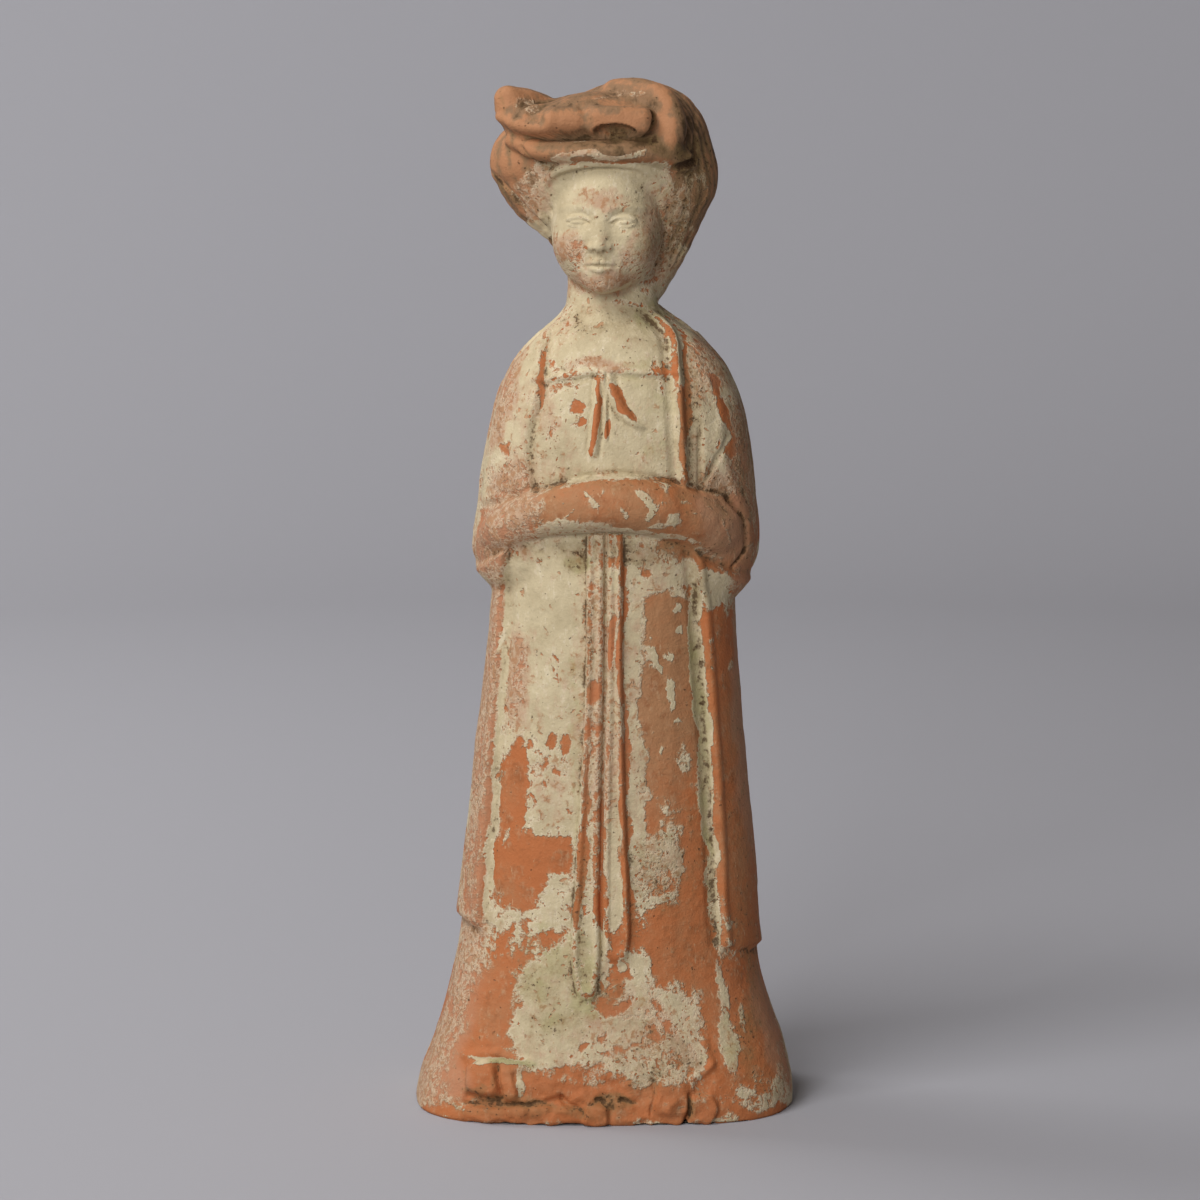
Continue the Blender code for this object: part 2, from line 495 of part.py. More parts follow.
def arm_relief(x, y, z):
    upright = welt(x, arms["upright"]) * smooth_step(199.0, 206.0, z) * smooth_step(228.0, 218.0, z)
    across, up = arms["slant_start"]
    slant = welt(x - across - arms["slant_lean"] * (z - up), arms["slant"])
    slant = slant * smooth_step(201.0, 206.0, z) * smooth_step(222.0, 214.0, z)
    outer = curve_at(arms["outer_fold"], z)
    ridge = welt(x - outer, arms["fold"]) * smooth_step(186.0, 200.0, z) * smooth_step(243.0, 234.0, z)
    end = curve_at(arms["cuff"], z)
    cuff = welt(x - end, arms["cuff_groove"]) * smooth_step(175.0, 180.0, z) * smooth_step(203.0, 197.0, z)
    across, up = arms["left_start"]
    fold = welt(-x - across + arms["left_lean"] * (z - up), arms["left_fold"])
    fold = fold * smooth_step(203.0, 210.0, z) * smooth_step(236.0, 224.0, z)
    across, up = arms["crease_start"]
    crease = welt(z - up + arms["crease_lean"] * (x + across), arms["crease"]) * bump(x, -29.0, 9.0)
    over = z - curve_at(band_top, x)
    under = z - curve_at(band_bottom, x)
    along = smooth_step(47.0, 38.0, np.abs(x - 3.0))
    roll_edge = welt(over, arms["rim"]) - welt(over, arms["rim_groove"])
    on_roll = smooth_step(0.0, -3.0, over) * smooth_step(0.0, 3.0, under)
    uneven = 0.4 * grain((x, y, z), 8.0, 21) + 0.2 * grain((x, y, z), 3.6, 22)
    return ridge - upright - slant - cuff - fold - crease + (roll_edge + uneven * on_roll) * along


hem_lumps = [
    # broken clay at the foot in front: across, height, half width, half height, how far it stands out
    (-37.6, 18.0, 4.4, 4.9, 2.7), (-29.8, 16.8, 2.7, 4.6, 1.7), (-24.0, 7.6, 19.0, 2.6, 1.3),
    (-2.6, 7.6, 3.4, 2.6, 2.0), (22.0, 13.6, 6.4, 5.6, 1.5), (31.2, 9.0, 3.6, 4.4, 1.7),
    (9.5, 9.0, 6.0, 3.4, 0.6),
]
hem_cracks = [
    # lines pressed or split into it: across and height at each end, half width, depth
    (-43.0, 10.2, -26.0, 10.8, 0.9, 1.4), (-26.0, 10.8, -14.0, 12.6, 0.8, 1.2),
    (-14.0, 12.6, -6.4, 8.6, 0.7, 1.1), (-32.6, 22.0, -32.4, 12.6, 0.7, 1.5),
    (-42.0, 12.4, -33.6, 12.2, 1.0, 1.6), (27.6, 13.6, 26.2, 4.0, 0.8, 1.9),
    (-2.4, 12.6, 0.6, 12.2, 1.1, 1.3), (6.0, 12.6, 9.0, 11.4, 1.0, 1.3), (14.8, 8.0, 15.6, 18.0, 0.8, 0.8),
]
hem_welts = [
    # edges of clay that stand up: across and height at each end, half width, rise
    (-42.5, 24.6, -33.0, 25.8, 1.3, 0.7), (-33.0, 25.8, -22.0, 23.8, 1.4, 0.7),
    (28.4, 19.0, 34.0, 22.0, 1.3, 0.9), (34.0, 22.0, 32.6, 29.0, 1.3, 0.7),
]


def lump(x, z, across, up, half_width, half_height, edge=0.22):
    # a raised patch with rounded corners, 1 inside and 0 outside
    aside = np.abs(x - across) / half_width
    away = np.abs(z - up) / half_height
    return smooth_step(1.0 + edge, 1.0 - edge, (aside ** 3 + away ** 3) ** (1 / 3))


def line_off(x, z, x0, z0, x1, z1):
    # how far points lie from a straight line between two places on the front
    run, rise = x1 - x0, z1 - z0
    along = np.clip(((x - x0) * run + (z - z0) * rise) / (run * run + rise * rise), 0.0, 1.0)
    return np.hypot(x - x0 - along * run, z - z0 - along * rise)


def hem_relief(x, y, z):
    # the foot of the skirt in front, where the clay is torn and lumpy
    level = 0.0 * z
    x = x + 1.4 * grain((x, level, z), 5.0, 3)
    z = z + 1.1 * grain((x, level, z), 4.5, 9)
    torn = lump(x, z, -4.0, 8.0, 40.0, 10.0, 0.35)
    height = torn * (0.45 * grain((x, y, z), 3.2, 8) - 0.7)
    for across, up, half_width, half_height, rise in hem_lumps:
        height = height + rise * lump(x, z, across, up, half_width, half_height)
    for x0, z0, x1, z1, half_width, depth in hem_cracks:
        height = height - depth * bump(line_off(x, z, x0, z0, x1, z1), 0.0, 1.4 * half_width)
    for x0, z0, x1, z1, half_width, rise in hem_welts:
        height = height + rise * bump(line_off(x, z, x0, z0, x1, z1), 0.0, 1.6 * half_width)
    return height


def hair_relief(x, y, z):
    # combed strands that fan up from the nape, and the sewn edge of the left side
    around = np.arctan2(x - 3.0, -(y - 4.0))
    outer = np.sqrt((x - 3.0) ** 2 + (y - 4.0) ** 2)
    strands = np.sin(around * 19.0 + 0.10 * z + 1.2 * grain((x, y, z), 14.0, 2))
    sides = smooth_step(0.85, 1.2, np.abs(around)) * smooth_step(15.0, 21.0, outer)
    combed = strands * sides * smooth_step(262.0, 270.0, z) * smooth_step(327.0, 318.0, z)
    deep = np.clip(strands, 0.0, 1.0) ** 3
    right = sides * smooth_step(8.0, 14.0, x) * smooth_step(264.0, 272.0, z) * smooth_step(312.0, 300.0, z)
    seam = bump(z - 296.0 - 1.05 * (-30.5 - x), 0.0, 1.3) * smooth_step(-16.0, -19.0, x)
    seam = seam * smooth_step(6.0, -2.0, y) * smooth_step(-36.0, -33.5, x)
    groove = bump(x, 28.6, 1.2) * bump(z, 312.0, 12.0) * smooth_step(4.0, -2.0, y)
    return 0.22 * combed - 0.55 * deep * right - 0.7 * seam - 0.7 * groove


def relief(at):
    at = (at_rest_width(at[0], at[2]), at[1], at[2])
    x, y, z = at
    front = smooth_step(-2.0, -9.0, y)
    garment = smooth_step(262.0, 257.0, z)
    height = coat_relief(x, y, z) * garment
    height = height + front * garment * (ribbon_relief(x, y, z) + bodice_relief(x, y, z))
    height = height + front * garment * (shawl_relief(x, y, z) + arm_relief(x, y, z))
    height = height + front * hem_relief(x, y, z)
    height = height + hair_relief(x, y, z) * smooth_step(262.0, 268.0, z)
    height = height + face_lines(at) * smooth_step(262.0, 264.0, z) * smooth_step(304.0, 300.0, z)
    calm = 1.0 - 0.75 * smooth_step(262.0, 268.0, z) * smooth_step(-10.0, -16.0, y)
    uneven = 0.32 * grain(at, 17.0, 1) + 0.14 * grain(at, 6.0, 2) + 0.05 * grain(at, 2.2, 4)
    return height + uneven * calm


# Where the clay is felt for: a line up the figure's middle, and rays that leave it

ray_stops = [
    # (share of the rings from crown to sole, height on the line, degrees above level)
    (0.000, 305.0, 90.0), (0.050, 305.0, 58.0), (0.180, 305.0, 0.0), (0.230, 298.0, -5.0),
    (0.335, 283.0, -17.0), (0.375, 276.5, -26.0), (0.405, 271.0, -29.0), (0.430, 262.0, -22.0),
    (0.465, 250.0, -12.0), (0.500, 238.0, -2.0), (0.535, 225.0, -2.0), (0.600, 207.0, -14.0),
    (0.665, 196.0, -28.0), (0.690, 187.0, -28.0), (0.720, 165.0, -20.0), (0.755, 138.0, -8.0),
    (0.870, 60.0, 0.0), (0.905, 30.0, 0.0), (0.962, 9.0, 0.0), (0.980, 9.0, -6.0), (1.000, 9.0, -90.0),
]
middle_line = [
    # (height, across, depth) of the line that the rays leave
    (0, 0.4, 0.0), (100, 2.0, 0.0), (170, 4.0, 0.0), (230, 5.0, 0.0), (262, 3.0, 1.0),
    (285, 1.5, 1.5), (305, 0.5, 1.0),
]
front_crowding = 0.34  # how much closer the columns stand in front than at the back


def ray_starts(ring_share, azimuth):
    stops = np.array(ray_stops)
    height = np.interp(ring_share, stops[:, 0], stops[:, 1])
    rise = np.radians(np.interp(ring_share, stops[:, 0], stops[:, 2]))
    around = azimuth - front_crowding * np.sin(azimuth)
    start = (curve_at(middle_line, height, 1), curve_at(middle_line, height, 2), height)
    way = (np.cos(rise) * np.sin(around), -np.cos(rise) * np.cos(around), np.sin(rise))
    return start, way


def standing(at):
    # the clay, cut flat where it stands
    return carve(clay(at), at[2] - sole_height, 0.9)


def feel_skin(start, way):
    # goes in along each ray until it meets the clay, then closes in on the skin
    far = np.full(start[0].shape, 74.0)
    near = np.zeros_like(far)
    out = far.copy()
    loose = np.ones(far.shape, bool)
    for _ in range(60):
        here = np.nonzero(loose)[0]
        if not len(here):
            break
        at = tuple(s[here] + out[here] * w[here] for s, w in zip(start, way))
        gap = standing(at)
        met = gap <= 0
        near[here[met]] = out[here[met]]
        going = here[~met]
        far[going] = out[going]
        out[going] -= np.clip(0.62 * gap[~met], 0.35, 6.0)
        loose[here[met]] = False
        loose[going[out[going] <= 0.5]] = False
    for _ in range(9):
        half = (near + far) / 2
        inside = standing(tuple(s + half * w for s, w in zip(start, way))) <= 0
        near = np.where(inside, half, near)
        far = np.where(inside, far, half)
    reach = (near + far) / 2
    return tuple(s + reach * w for s, w in zip(start, way))


def skin_slope(at, step=0.25):
    # outward direction at points of the skin
    here = standing(at)
    slope = []
    for axis in range(3):
        moved = list(at)
        moved[axis] = at[axis] + step
        slope.append((standing(tuple(moved)) - here) / step)
    length = np.maximum(np.sqrt(sum(s * s for s in slope)), 1e-6)
    return tuple(s / length for s in slope)


# The mesh: a ball of clay whose points are pressed onto the form

def press_ball(mesh):
    # ball points run from the crown to the sole, each ring turning once about the figure
    shares = np.concatenate([[0.0], np.repeat(np.arange(1, rings) / rings, columns), [1.0]])
    turns = np.concatenate([[0.0], np.tile(np.arange(columns) / columns, rings - 1), [0.0]])
    start, way = ray_starts(shares, (turns - 0.5) * 2 * math.pi)
    skin = feel_skin(start, way)
    outward = skin_slope(skin)
    rise = relief(skin)
    points = np.stack([place + rise * out for place, out in zip(skin, outward)], 1)
    for vert, place in zip(mesh.verts, points):
        vert.co = place


def stand_up(data):
    # flattens the sole, puts the origin under the middle and gives the figure its real height
    points = np.empty(3 * len(data.vertices))
    data.vertices.foreach_get("co", points)
    points = points.reshape(-1, 3)
    points[points[:, 2] < sole_height + sole_band, 2] = sole_height
    low, high = points.min(0), points.max(0)
    points -= ((low[0] + high[0]) / 2, (low[1] + high[1]) / 2, sole_height)
    points *= figure_height / (high[2] - sole_height)
    data.vertices.foreach_set("co", points.ravel())
    data.update()


def ball_of_clay():
    mesh = bmesh.new()
    crown = mesh.verts.new((0, 0, 1))
    loops = [[mesh.verts.new((0, 0, 0)) for _ in range(columns)] for _ in range(rings - 1)]
    sole = mesh.verts.new((0, 0, -1))
    for one in range(columns):
        other = (one + 1) % columns
        mesh.faces.new((crown, loops[0][one], loops[0][other]))
        for upper, lower in zip(loops, loops[1:]):
            mesh.faces.new((upper[one], lower[one], lower[other], upper[other]))
        mesh.faces.new((sole, loops[-1][other], loops[-1][one]))
    return mesh


def clay_material():
    material = bpy.data.materials.new("fired_clay")
    material.use_nodes = True
    shader = material.node_tree.nodes["Principled BSDF"]
    shader.inputs["Base Color"].default_value = clay_colour
    shader.inputs["Roughness"].default_value = clay_roughness
    shader.inputs["Metallic"].default_value = 0.0
    return material


def make_figure():
    mesh = ball_of_clay()
    press_ball(mesh)
    bmesh.ops.triangulate(mesh, faces=mesh.faces[:])
    data = bpy.data.meshes.new("court_lady_figure")
    mesh.to_mesh(data)
    figure = bpy.data.objects.new("court_lady_figure", data)
    bpy.context.scene.collection.objects.link(figure)
    coarser = figure.modifiers.new("fewer_faces", "DECIMATE")
    coarser.ratio = triangle_limit / len(mesh.faces)
    mesh.free()
    evaluated = figure.evaluated_get(bpy.context.evaluated_depsgraph_get())
    figure.data = bpy.data.meshes.new_from_object(evaluated)
    figure.modifiers.clear()
    stand_up(figure.data)
    figure.data.materials.append(clay_material())
    figure.data.shade_smooth()


for item in list(bpy.data.objects):
    bpy.data.objects.remove(item)
make_figure()
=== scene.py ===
import math

import bpy
import numpy as np
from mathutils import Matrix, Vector


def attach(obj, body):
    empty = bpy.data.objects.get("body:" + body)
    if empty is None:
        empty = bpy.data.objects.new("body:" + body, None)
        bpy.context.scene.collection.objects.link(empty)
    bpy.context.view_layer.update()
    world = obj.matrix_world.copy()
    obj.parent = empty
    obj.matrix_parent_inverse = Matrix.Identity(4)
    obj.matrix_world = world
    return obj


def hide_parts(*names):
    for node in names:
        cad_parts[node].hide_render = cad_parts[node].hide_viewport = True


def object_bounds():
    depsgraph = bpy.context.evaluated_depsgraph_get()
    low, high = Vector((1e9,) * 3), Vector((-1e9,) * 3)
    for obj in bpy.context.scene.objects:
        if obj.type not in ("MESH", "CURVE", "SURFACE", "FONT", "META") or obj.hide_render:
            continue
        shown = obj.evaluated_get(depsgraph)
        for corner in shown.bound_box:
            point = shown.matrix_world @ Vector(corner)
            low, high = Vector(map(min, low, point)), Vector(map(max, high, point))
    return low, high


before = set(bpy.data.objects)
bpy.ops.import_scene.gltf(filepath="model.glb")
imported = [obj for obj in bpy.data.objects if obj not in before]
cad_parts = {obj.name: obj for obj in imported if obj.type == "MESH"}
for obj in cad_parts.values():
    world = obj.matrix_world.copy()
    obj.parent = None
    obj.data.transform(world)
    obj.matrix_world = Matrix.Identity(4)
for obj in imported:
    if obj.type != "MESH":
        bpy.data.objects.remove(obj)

# A court lady pressed in a mould in soft orange clay, with what is left of her cream slip.
# She faces -Y. Her form is laid out in millimetres and brought to metres at the end.

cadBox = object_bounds()
solidName = "court_lady_figure"
mm = 0.001

picture = dict(
    size=1200,  # pixels along each side of the picture
    height=8.0,  # degrees that the camera looks down
    distance=1.25,  # metres
    aim=(-0.0014, 0.0, 0.1605),
    lens=118.1,
    filmWidth=36.0,
)


def addCamera():
    tilt = math.radians(picture["height"])
    back = Vector((0, -math.cos(tilt), math.sin(tilt)))
    place = Vector(picture["aim"]) + back * picture["distance"]
    bpy.ops.object.camera_add(location=place, rotation=(math.pi / 2 - tilt, 0, 0))
    camera = bpy.context.object
    camera.data.lens = picture["lens"]
    camera.data.sensor_width = picture["filmWidth"]
    bpy.context.scene.camera = camera


def inPicture(x, y, z):
    # where points of the figure, in millimetres, stand in the picture, in pixels across and down
    tilt = math.radians(picture["height"])
    aimX, aimY, aimZ = (a / mm for a in picture["aim"])
    up = (z - aimZ) * math.cos(tilt) + (y - aimY) * math.sin(tilt)
    depth = picture["distance"] / mm + (y - aimY) * math.cos(tilt) - (z - aimZ) * math.sin(tilt)
    scale = picture["lens"] / picture["filmWidth"] * picture["size"] / depth
    return picture["size"] / 2 + (x - aimX) * scale, picture["size"] / 2 - up * scale


# Blending and curve helpers

def smoothStep(low, high, value):
    share = np.clip((value - low) / (high - low), 0.0, 1.0)
    return share * share * (3.0 - 2.0 * share)


def bump(value, centre, halfWidth):
    share = np.clip(np.abs(value - centre) / halfWidth, 0.0, 1.0)
    return (1.0 - share * share) ** 2


def merge(first, second, softness):
    share = np.clip(0.5 + 0.5 * (second - first) / softness, 0.0, 1.0)
    return second + (first - second) * share - softness * share * (1.0 - share)


def carve(solid, tool, softness):
    return -merge(-solid, tool, softness)


def curveAt(stations, at, column=1):
    # a smooth curve through the stations' values, held level past both ends
    table = np.array(stations, float)
    table = table[np.argsort(table[:, 0])]
    key, value = table[:, 0], table[:, column]
    slope = np.gradient(value, key)
    at = np.clip(at, key[0], key[-1])
    i = np.clip(np.searchsorted(key, at) - 1, 0, len(key) - 2)
    gap = key[i + 1] - key[i]
    s = (at - key[i]) / gap
    rise = (1 + 2 * s) * (1 - s) ** 2 * value[i] + s * s * (3 - 2 * s) * value[i + 1]
    return rise + gap * (s * (1 - s) ** 2 * slope[i] - s * s * (1 - s) * slope[i + 1])


# Simple clay shapes: each gives the distance from its skin, negative inside

def ellipsoid(at, centre, radii, turn=0.0):
    x, y, z = (a - c for a, c in zip(at, centre))
    if turn:
        c, s = np.cos(turn), np.sin(turn)
        x, z = c * x + s * z, c * z - s * x
    near = np.sqrt((x / radii[0]) ** 2 + (y / radii[1]) ** 2 + (z / radii[2]) ** 2)
    steep = np.sqrt((x / radii[0] ** 2) ** 2 + (y / radii[1] ** 2) ** 2 + (z / radii[2] ** 2) ** 2)
    return near * (near - 1.0) / np.maximum(steep, 1e-6)


def roll(at, start, end, startRadius, endRadius):
    along = [e - s for s, e in zip(start, end)]
    offset = [a - s for a, s in zip(at, start)]
    length = sum(a * a for a in along)
    share = np.clip(sum(o * a for o, a in zip(offset, along)) / length, 0.0, 1.0)
    away = np.sqrt(sum((o - share * a) ** 2 for o, a in zip(offset, along)))
    return away - (startRadius + (endRadius - startRadius) * share)


def rope(at, stops, tall=1.0, pieces=3):
    # a bar along a smooth line through the stops, which are (x, y, z, radius), tall times as high as deep
    at = (at[0], at[1], at[2] / tall)
    stops = [(x, y, z / tall, radius) for x, y, z, radius in stops]
    key = np.arange(len(stops))
    table = [(k, *stop) for k, stop in zip(key, stops)]
    fine = np.linspace(0, key[-1], pieces * key[-1] + 1)
    knots = np.stack([curveAt(table, fine, c) for c in (1, 2, 3, 4)], 1)
    shape = None
    for a, b in zip(knots, knots[1:]):
        part = roll(at, a[:3], b[:3], a[3], b[3])
        shape = part if shape is None else np.minimum(shape, part)
    return shape * min(tall, 1.0)


def slab(at, centre, halves, rounding):
    # a block with rounded edges: halves are its half sizes across, deep and high
    over = [np.abs(a - c) - h + rounding for a, c, h in zip(at, centre, halves)]
    outside = np.sqrt(sum(np.maximum(o, 0.0) ** 2 for o in over))
    inside = np.minimum(np.maximum(np.maximum(over[0], over[1]), over[2]), 0.0)
    return outside + inside - rounding


def loft(at, stations, corners):
    # stations are (height, left, right, front, back), corners are (height, squareness of the outline)
    x, y, z = at
    squareness = curveAt(corners, z)
    left, right, front, back = (curveAt(stations, z, c) for c in (1, 2, 3, 4))
    x = x - (left + right) / 2
    y = y - (front + back) / 2
    ring = (np.abs(2 * x / (right - left)) ** squareness + np.abs(2 * y / (back - front)) ** squareness)
    ring = np.maximum(ring, 1e-9) ** (1.0 / squareness)
    return np.sqrt(x * x + y * y) * (1.0 - 1.0 / ring)


def grain(at, size, seed):
    # smooth lattice noise from -1 to 1
    cells = [a / size + 17.3 * (k + 1) + 3.1 * seed for k, a in enumerate(at)]
    low = [np.floor(c).astype(np.int64) for c in cells]
    share = [c - l for c, l in zip(cells, low)]
    share = [s * s * (3 - 2 * s) for s in share]
    total = 0.0
    for corner in range(8):
        bits = [corner >> k & 1 for k in range(3)]
        h = sum((l + b) * m for l, b, m in zip(low, bits, (73856093, 19349663, 83492791)))
        h = (h + seed * 2654435761) & 0xFFFFFFFF
        h = ((h ^ (h >> 15)) * 2246822519) & 0xFFFFFFFF
        h = ((h ^ (h >> 13)) * 3266489917) & 0xFFFFFFFF
        value = (h ^ (h >> 16)) / 2147483648.0 - 1.0
        weight = 1.0
        for s, b in zip(share, bits):
            weight = weight * (s if b else 1.0 - s)
        total = total + value * weight
    return total


def waves(at, sizes):
    # smooth noise laid together from (height, size, seed)
    return sum(height * grain(at, size, seed) for height, size, seed in sizes)


# The garments, in millimetres: (height, left, right, front, back)

soleHeight, soleSoftness = 4.5, 0.9  # where the skirt is cut flat, and how sharply
skirtTop, shawlBottom, shawlTop = 205.0, 168.0, 278.0
shawlSoftness, sleeveSoftness, neckSoftness = 1.5, 1.2, 2.0  # how far each form melts into its neighbour
skirtCorners = [(0, 3.3), (14, 3.1), (30, 2.7), (60, 2.35), (110, 2.2)]
shawlCorners = [(160, 2.2), (260, 2.2)]
skirtRings = [
    (0, -60.6, 60.2, -41.8, 41.8), (5, -60.4, 60.9, -42.2, 42.0), (12, -58.8, 60.6, -41.4, 41.0),
    (22, -55.0, 58.2, -39.6, 39.0), (32, -51.9, 54.7, -37.4, 37.0), (44, -48.8, 51.0, -35.4, 35.0),
    (56, -46.3, 49.0, -34.0, 33.0), (75, -43.9, 47.6, -32.8, 31.0), (100, -41.0, 45.2, -31.4, 29.5),
    (130, -37.6, 42.2, -30.0, 28.0), (160, -34.2, 40.2, -29.0, 27.0), (200, -32.0, 39.0, -28.0, 26.0),
]
shawlRings = [
    (166, -31.0, 39.0, -24.0, 24.0), (171, -34.4, 43.6, -25.5, 26.0), (175, -38.2, 46.8, -26.5, 27.5),
    (180, -40.7, 48.6, -27.4, 28.5), (186, -40.6, 49.0, -28.0, 28.8), (198, -38.8, 47.8, -28.4, 28.8),
    (208, -37.5, 46.8, -28.4, 28.4), (217, -36.0, 45.7, -28.2, 27.8), (226, -34.0, 44.0, -27.4, 26.6),
    (234, -31.6, 41.3, -25.8, 25.0), (240, -28.8, 38.0, -24.2, 23.2), (245, -25.0, 33.6, -22.2, 21.2),
    (250, -19.9, 28.4, -19.2, 18.6), (254, -15.2, 22.6, -15.8, 16.4), (258, -12.2, 17.8, -12.8, 14.8),
    (263, -11.3, 17.0, -11.8, 14.4), (280, -12.0, 17.6, -12.0, 15.0),
]
sleeveStops = [
    (-33.0, -6.0, 185.5, 7.4), (-29.5, -15.5, 190.0, 7.6), (-21.0, -23.5, 195.2, 7.4),
    (-10.0, -28.2, 198.0, 8.0), (2.0, -29.6, 199.2, 8.3), (12.0, -28.6, 198.4, 8.4),
    (22.5, -24.6, 196.0, 8.8), (31.5, -18.0, 191.4, 9.4), (37.0, -9.0, 187.2, 9.6),
]
bandTop = [(-60, 190.0), (-34, 197.0), (-21.5, 201.6), (-11, 205.2), (2.5, 207.6), (20, 205.3), (31, 202.2),
            (38, 199.4), (42.5, 194.0), (60, 188.0)]
bandBottom = [(-60, 172.0), (-40, 178.0), (-34, 182.6), (-29, 186.7), (-22, 189.0), (-5, 191.0), (3, 190.8),
               (13, 189.7), (23, 187.6), (33, 181.8), (40, 178.0), (60, 172.0)]

footWidth = 121.3  # across the flared foot of the skirt
sleevesWidth = 89.6  # across both sleeves at their widest
footReach = (160.0, 10.0)  # heights between which the flare grows to its full width
sleevesReach = ((166.0, 180.0), (262.0, 236.0))  # the same below and above the sleeves


def atRestWidth(x, z):
    # maps points of a wider or narrower figure back onto the tables above
    foot = footWidth / (skirtRings[1][2] - skirtRings[1][1]) - 1.0
    sleeves = sleevesWidth / (shawlRings[4][2] - shawlRings[4][1]) - 1.0
    below, above = sleevesReach
    return x / (1.0 + foot * smoothStep(*footReach, z)
                + sleeves * smoothStep(*below, z) * smoothStep(*above, z))


def sleeveClay(at):
    return rope(at, sleeveStops)


# The head, in its own frame: across, out of the face (minus), and up from the chin

head = dict(place=(2.2, -0.5, 263.6), turn=0.14, width=35.5, height=40.0)
face = dict(
    # half sizes of the forms across, deep and high, or radii where a form tapers
    skullDepth=21.0, jawDepth=13.6, chin=(5.6, 5.0, 4.4), cheek=(6.2, 6.4, 6.6), socket=(4.9, 4.4, 3.0),
    eyeball=(3.9, 2.3, 2.1), bridge=(1.6, 2.1), wing=(1.7, 2.0, 1.5), upperLip=(1.15, 0.5),
    lowerLip=(1.3, 0.6), lipPad=(6.6, 4.4, 4.4), ear=(2.2, 3.4, 6.0),
)
faceSoftness = dict(jaw=5.0, chin=4.0, cheek=3.5, socket=2.6, eyeball=0.8, bridge=2.2, wing=1.0,
                     lipPad=3.0, lips=0.7, ear=1.2)


def headFrame(at):
    x, y, z = (a - c for a, c in zip(at, head["place"]))
    c, s = np.cos(head["turn"]), np.sin(head["turn"])
    return c * x - s * y, s * x + c * y, z


def faceMeasures():
    # how far aside the eyes are, and the heights of the eyes, the nose and the mouth
    eye = head["width"] / 5  # five eyes make the width of a face
    nose = head["height"] / 3  # hairline to brow, brow to nose and nose to chin are alike
    look = 2 * nose - 0.11 * head["height"]
    return eye, look, nose, nose * 2 / 3


def faceClay(at):
    u, v, w = headFrame(at)
    here = (u, v, w)
    mirrored = (abs(u), v, w)
    half = head["width"] / 2
    tall = head["height"]
    eye, look, nose, mouth = faceMeasures()
    soft = faceSoftness
    skull = ellipsoid(here, (0, -1.5, 0.62 * tall), (half, face["skullDepth"], 0.60 * tall))
    jaw = ellipsoid(here, (0, -9.5, 0.40 * tall), (half * 0.90, face["jawDepth"], 0.40 * tall))
    shape = merge(skull, jaw, soft["jaw"])
    shape = merge(shape, ellipsoid(here, (0, -17.4, 0.115 * tall), face["chin"]), soft["chin"])
    shape = merge(shape, ellipsoid(mirrored, (8.4, -15.0, 0.39 * tall), face["cheek"]), soft["cheek"])
    shape = carve(shape, ellipsoid(mirrored, (eye, -25.4, look + 0.2), face["socket"]), soft["socket"])
    shape = merge(shape, ellipsoid(mirrored, (eye, -19.6, look), face["eyeball"]), soft["eyeball"])
    bridge = roll(here, (0, -19.6, look + 3.4), (0, -24.2, nose + 1.7), *face["bridge"])
    shape = merge(shape, bridge, soft["bridge"])
    shape = merge(shape, ellipsoid(mirrored, (2.3, -22.6, nose + 1.3), face["wing"]), soft["wing"])
    upper = roll(mirrored, (0.9, -22.6, mouth + 1.15), (4.6, -21.0, mouth + 0.35), *face["upperLip"])
    lower = roll(mirrored, (0.0, -22.3, mouth - 1.35), (3.6, -20.9, mouth - 0.6), *face["lowerLip"])
    shape = merge(shape, ellipsoid(here, (0, -17.8, mouth), face["lipPad"]), soft["lipPad"])
    shape = merge(merge(shape, upper, soft["lips"]), lower, soft["lips"])
    ear = ellipsoid(mirrored, (half - 0.6, 0.5, 0.48 * tall), face["ear"])
    return merge(shape, ear, soft["ear"])


faceMarks = dict(
    # half widths and depths of the lines drawn on the face
    upperRim=(0.8, 0.42), lowerRim=(0.7, 0.24), upperSlit=(0.6, 0.34), lowerSlit=(0.55, 0.16),
    crease=(0.7, 0.22), brow=(1.5, 0.34), mouth=(0.65, 0.55), lipGroove=(1.1, 0.22), nostril=(0.8, 0.7),
)


def faceMark(name, off):
    halfWidth, depth = faceMarks[name]
    return depth * bump(off, 0.0, halfWidth)


def faceLines(at):
    # eyelids, mouth and nostrils, as depths on the face's front
    u, v, w = headFrame(at)
    eye, look, nose, mouth = faceMeasures()
    front = smoothStep(-10.0, -15.0, v)
    across = (abs(u) - eye) / 3.9
    inside = smoothStep(1.12, 0.86, abs(across))
    upperLid = look + 1.15 * (1 - across ** 2) - 0.1
    lowerLid = look - 0.95 * (1 - across ** 2) - 0.15
    rim = faceMark("upperRim", w - upperLid - 0.5) + faceMark("lowerRim", w - lowerLid + 0.45)
    slit = faceMark("upperSlit", w - upperLid + 0.45) + faceMark("lowerSlit", w - lowerLid - 0.2)
    crease = faceMark("crease", w - upperLid - 1.75)
    arch = 2 * nose - 0.9 + 1.3 * (1 - ((abs(u) - eye - 0.6) / 5.6) ** 2)
    brow = faceMark("brow", w - arch) * smoothStep(6.4, 4.6, abs(abs(u) - eye - 0.6))
    lips = faceMark("mouth", w - mouth - 0.05 + 0.012 * u * u) * smoothStep(6.0, 4.4, abs(u))
    groove = faceMark("lipGroove", u) * smoothStep(mouth + 2.0, mouth + 2.8, w)
    groove = groove * smoothStep(nose + 0.4, nose - 0.6, w)
    nostril = faceMark("nostril", w - nose + 0.1) * bump(abs(u), 1.7, 0.9)
    return front * ((rim - slit - crease) * inside + brow - lips - groove - nostril)


# The hair: a wide fan of combed hair with a topknot folded forward over the brow

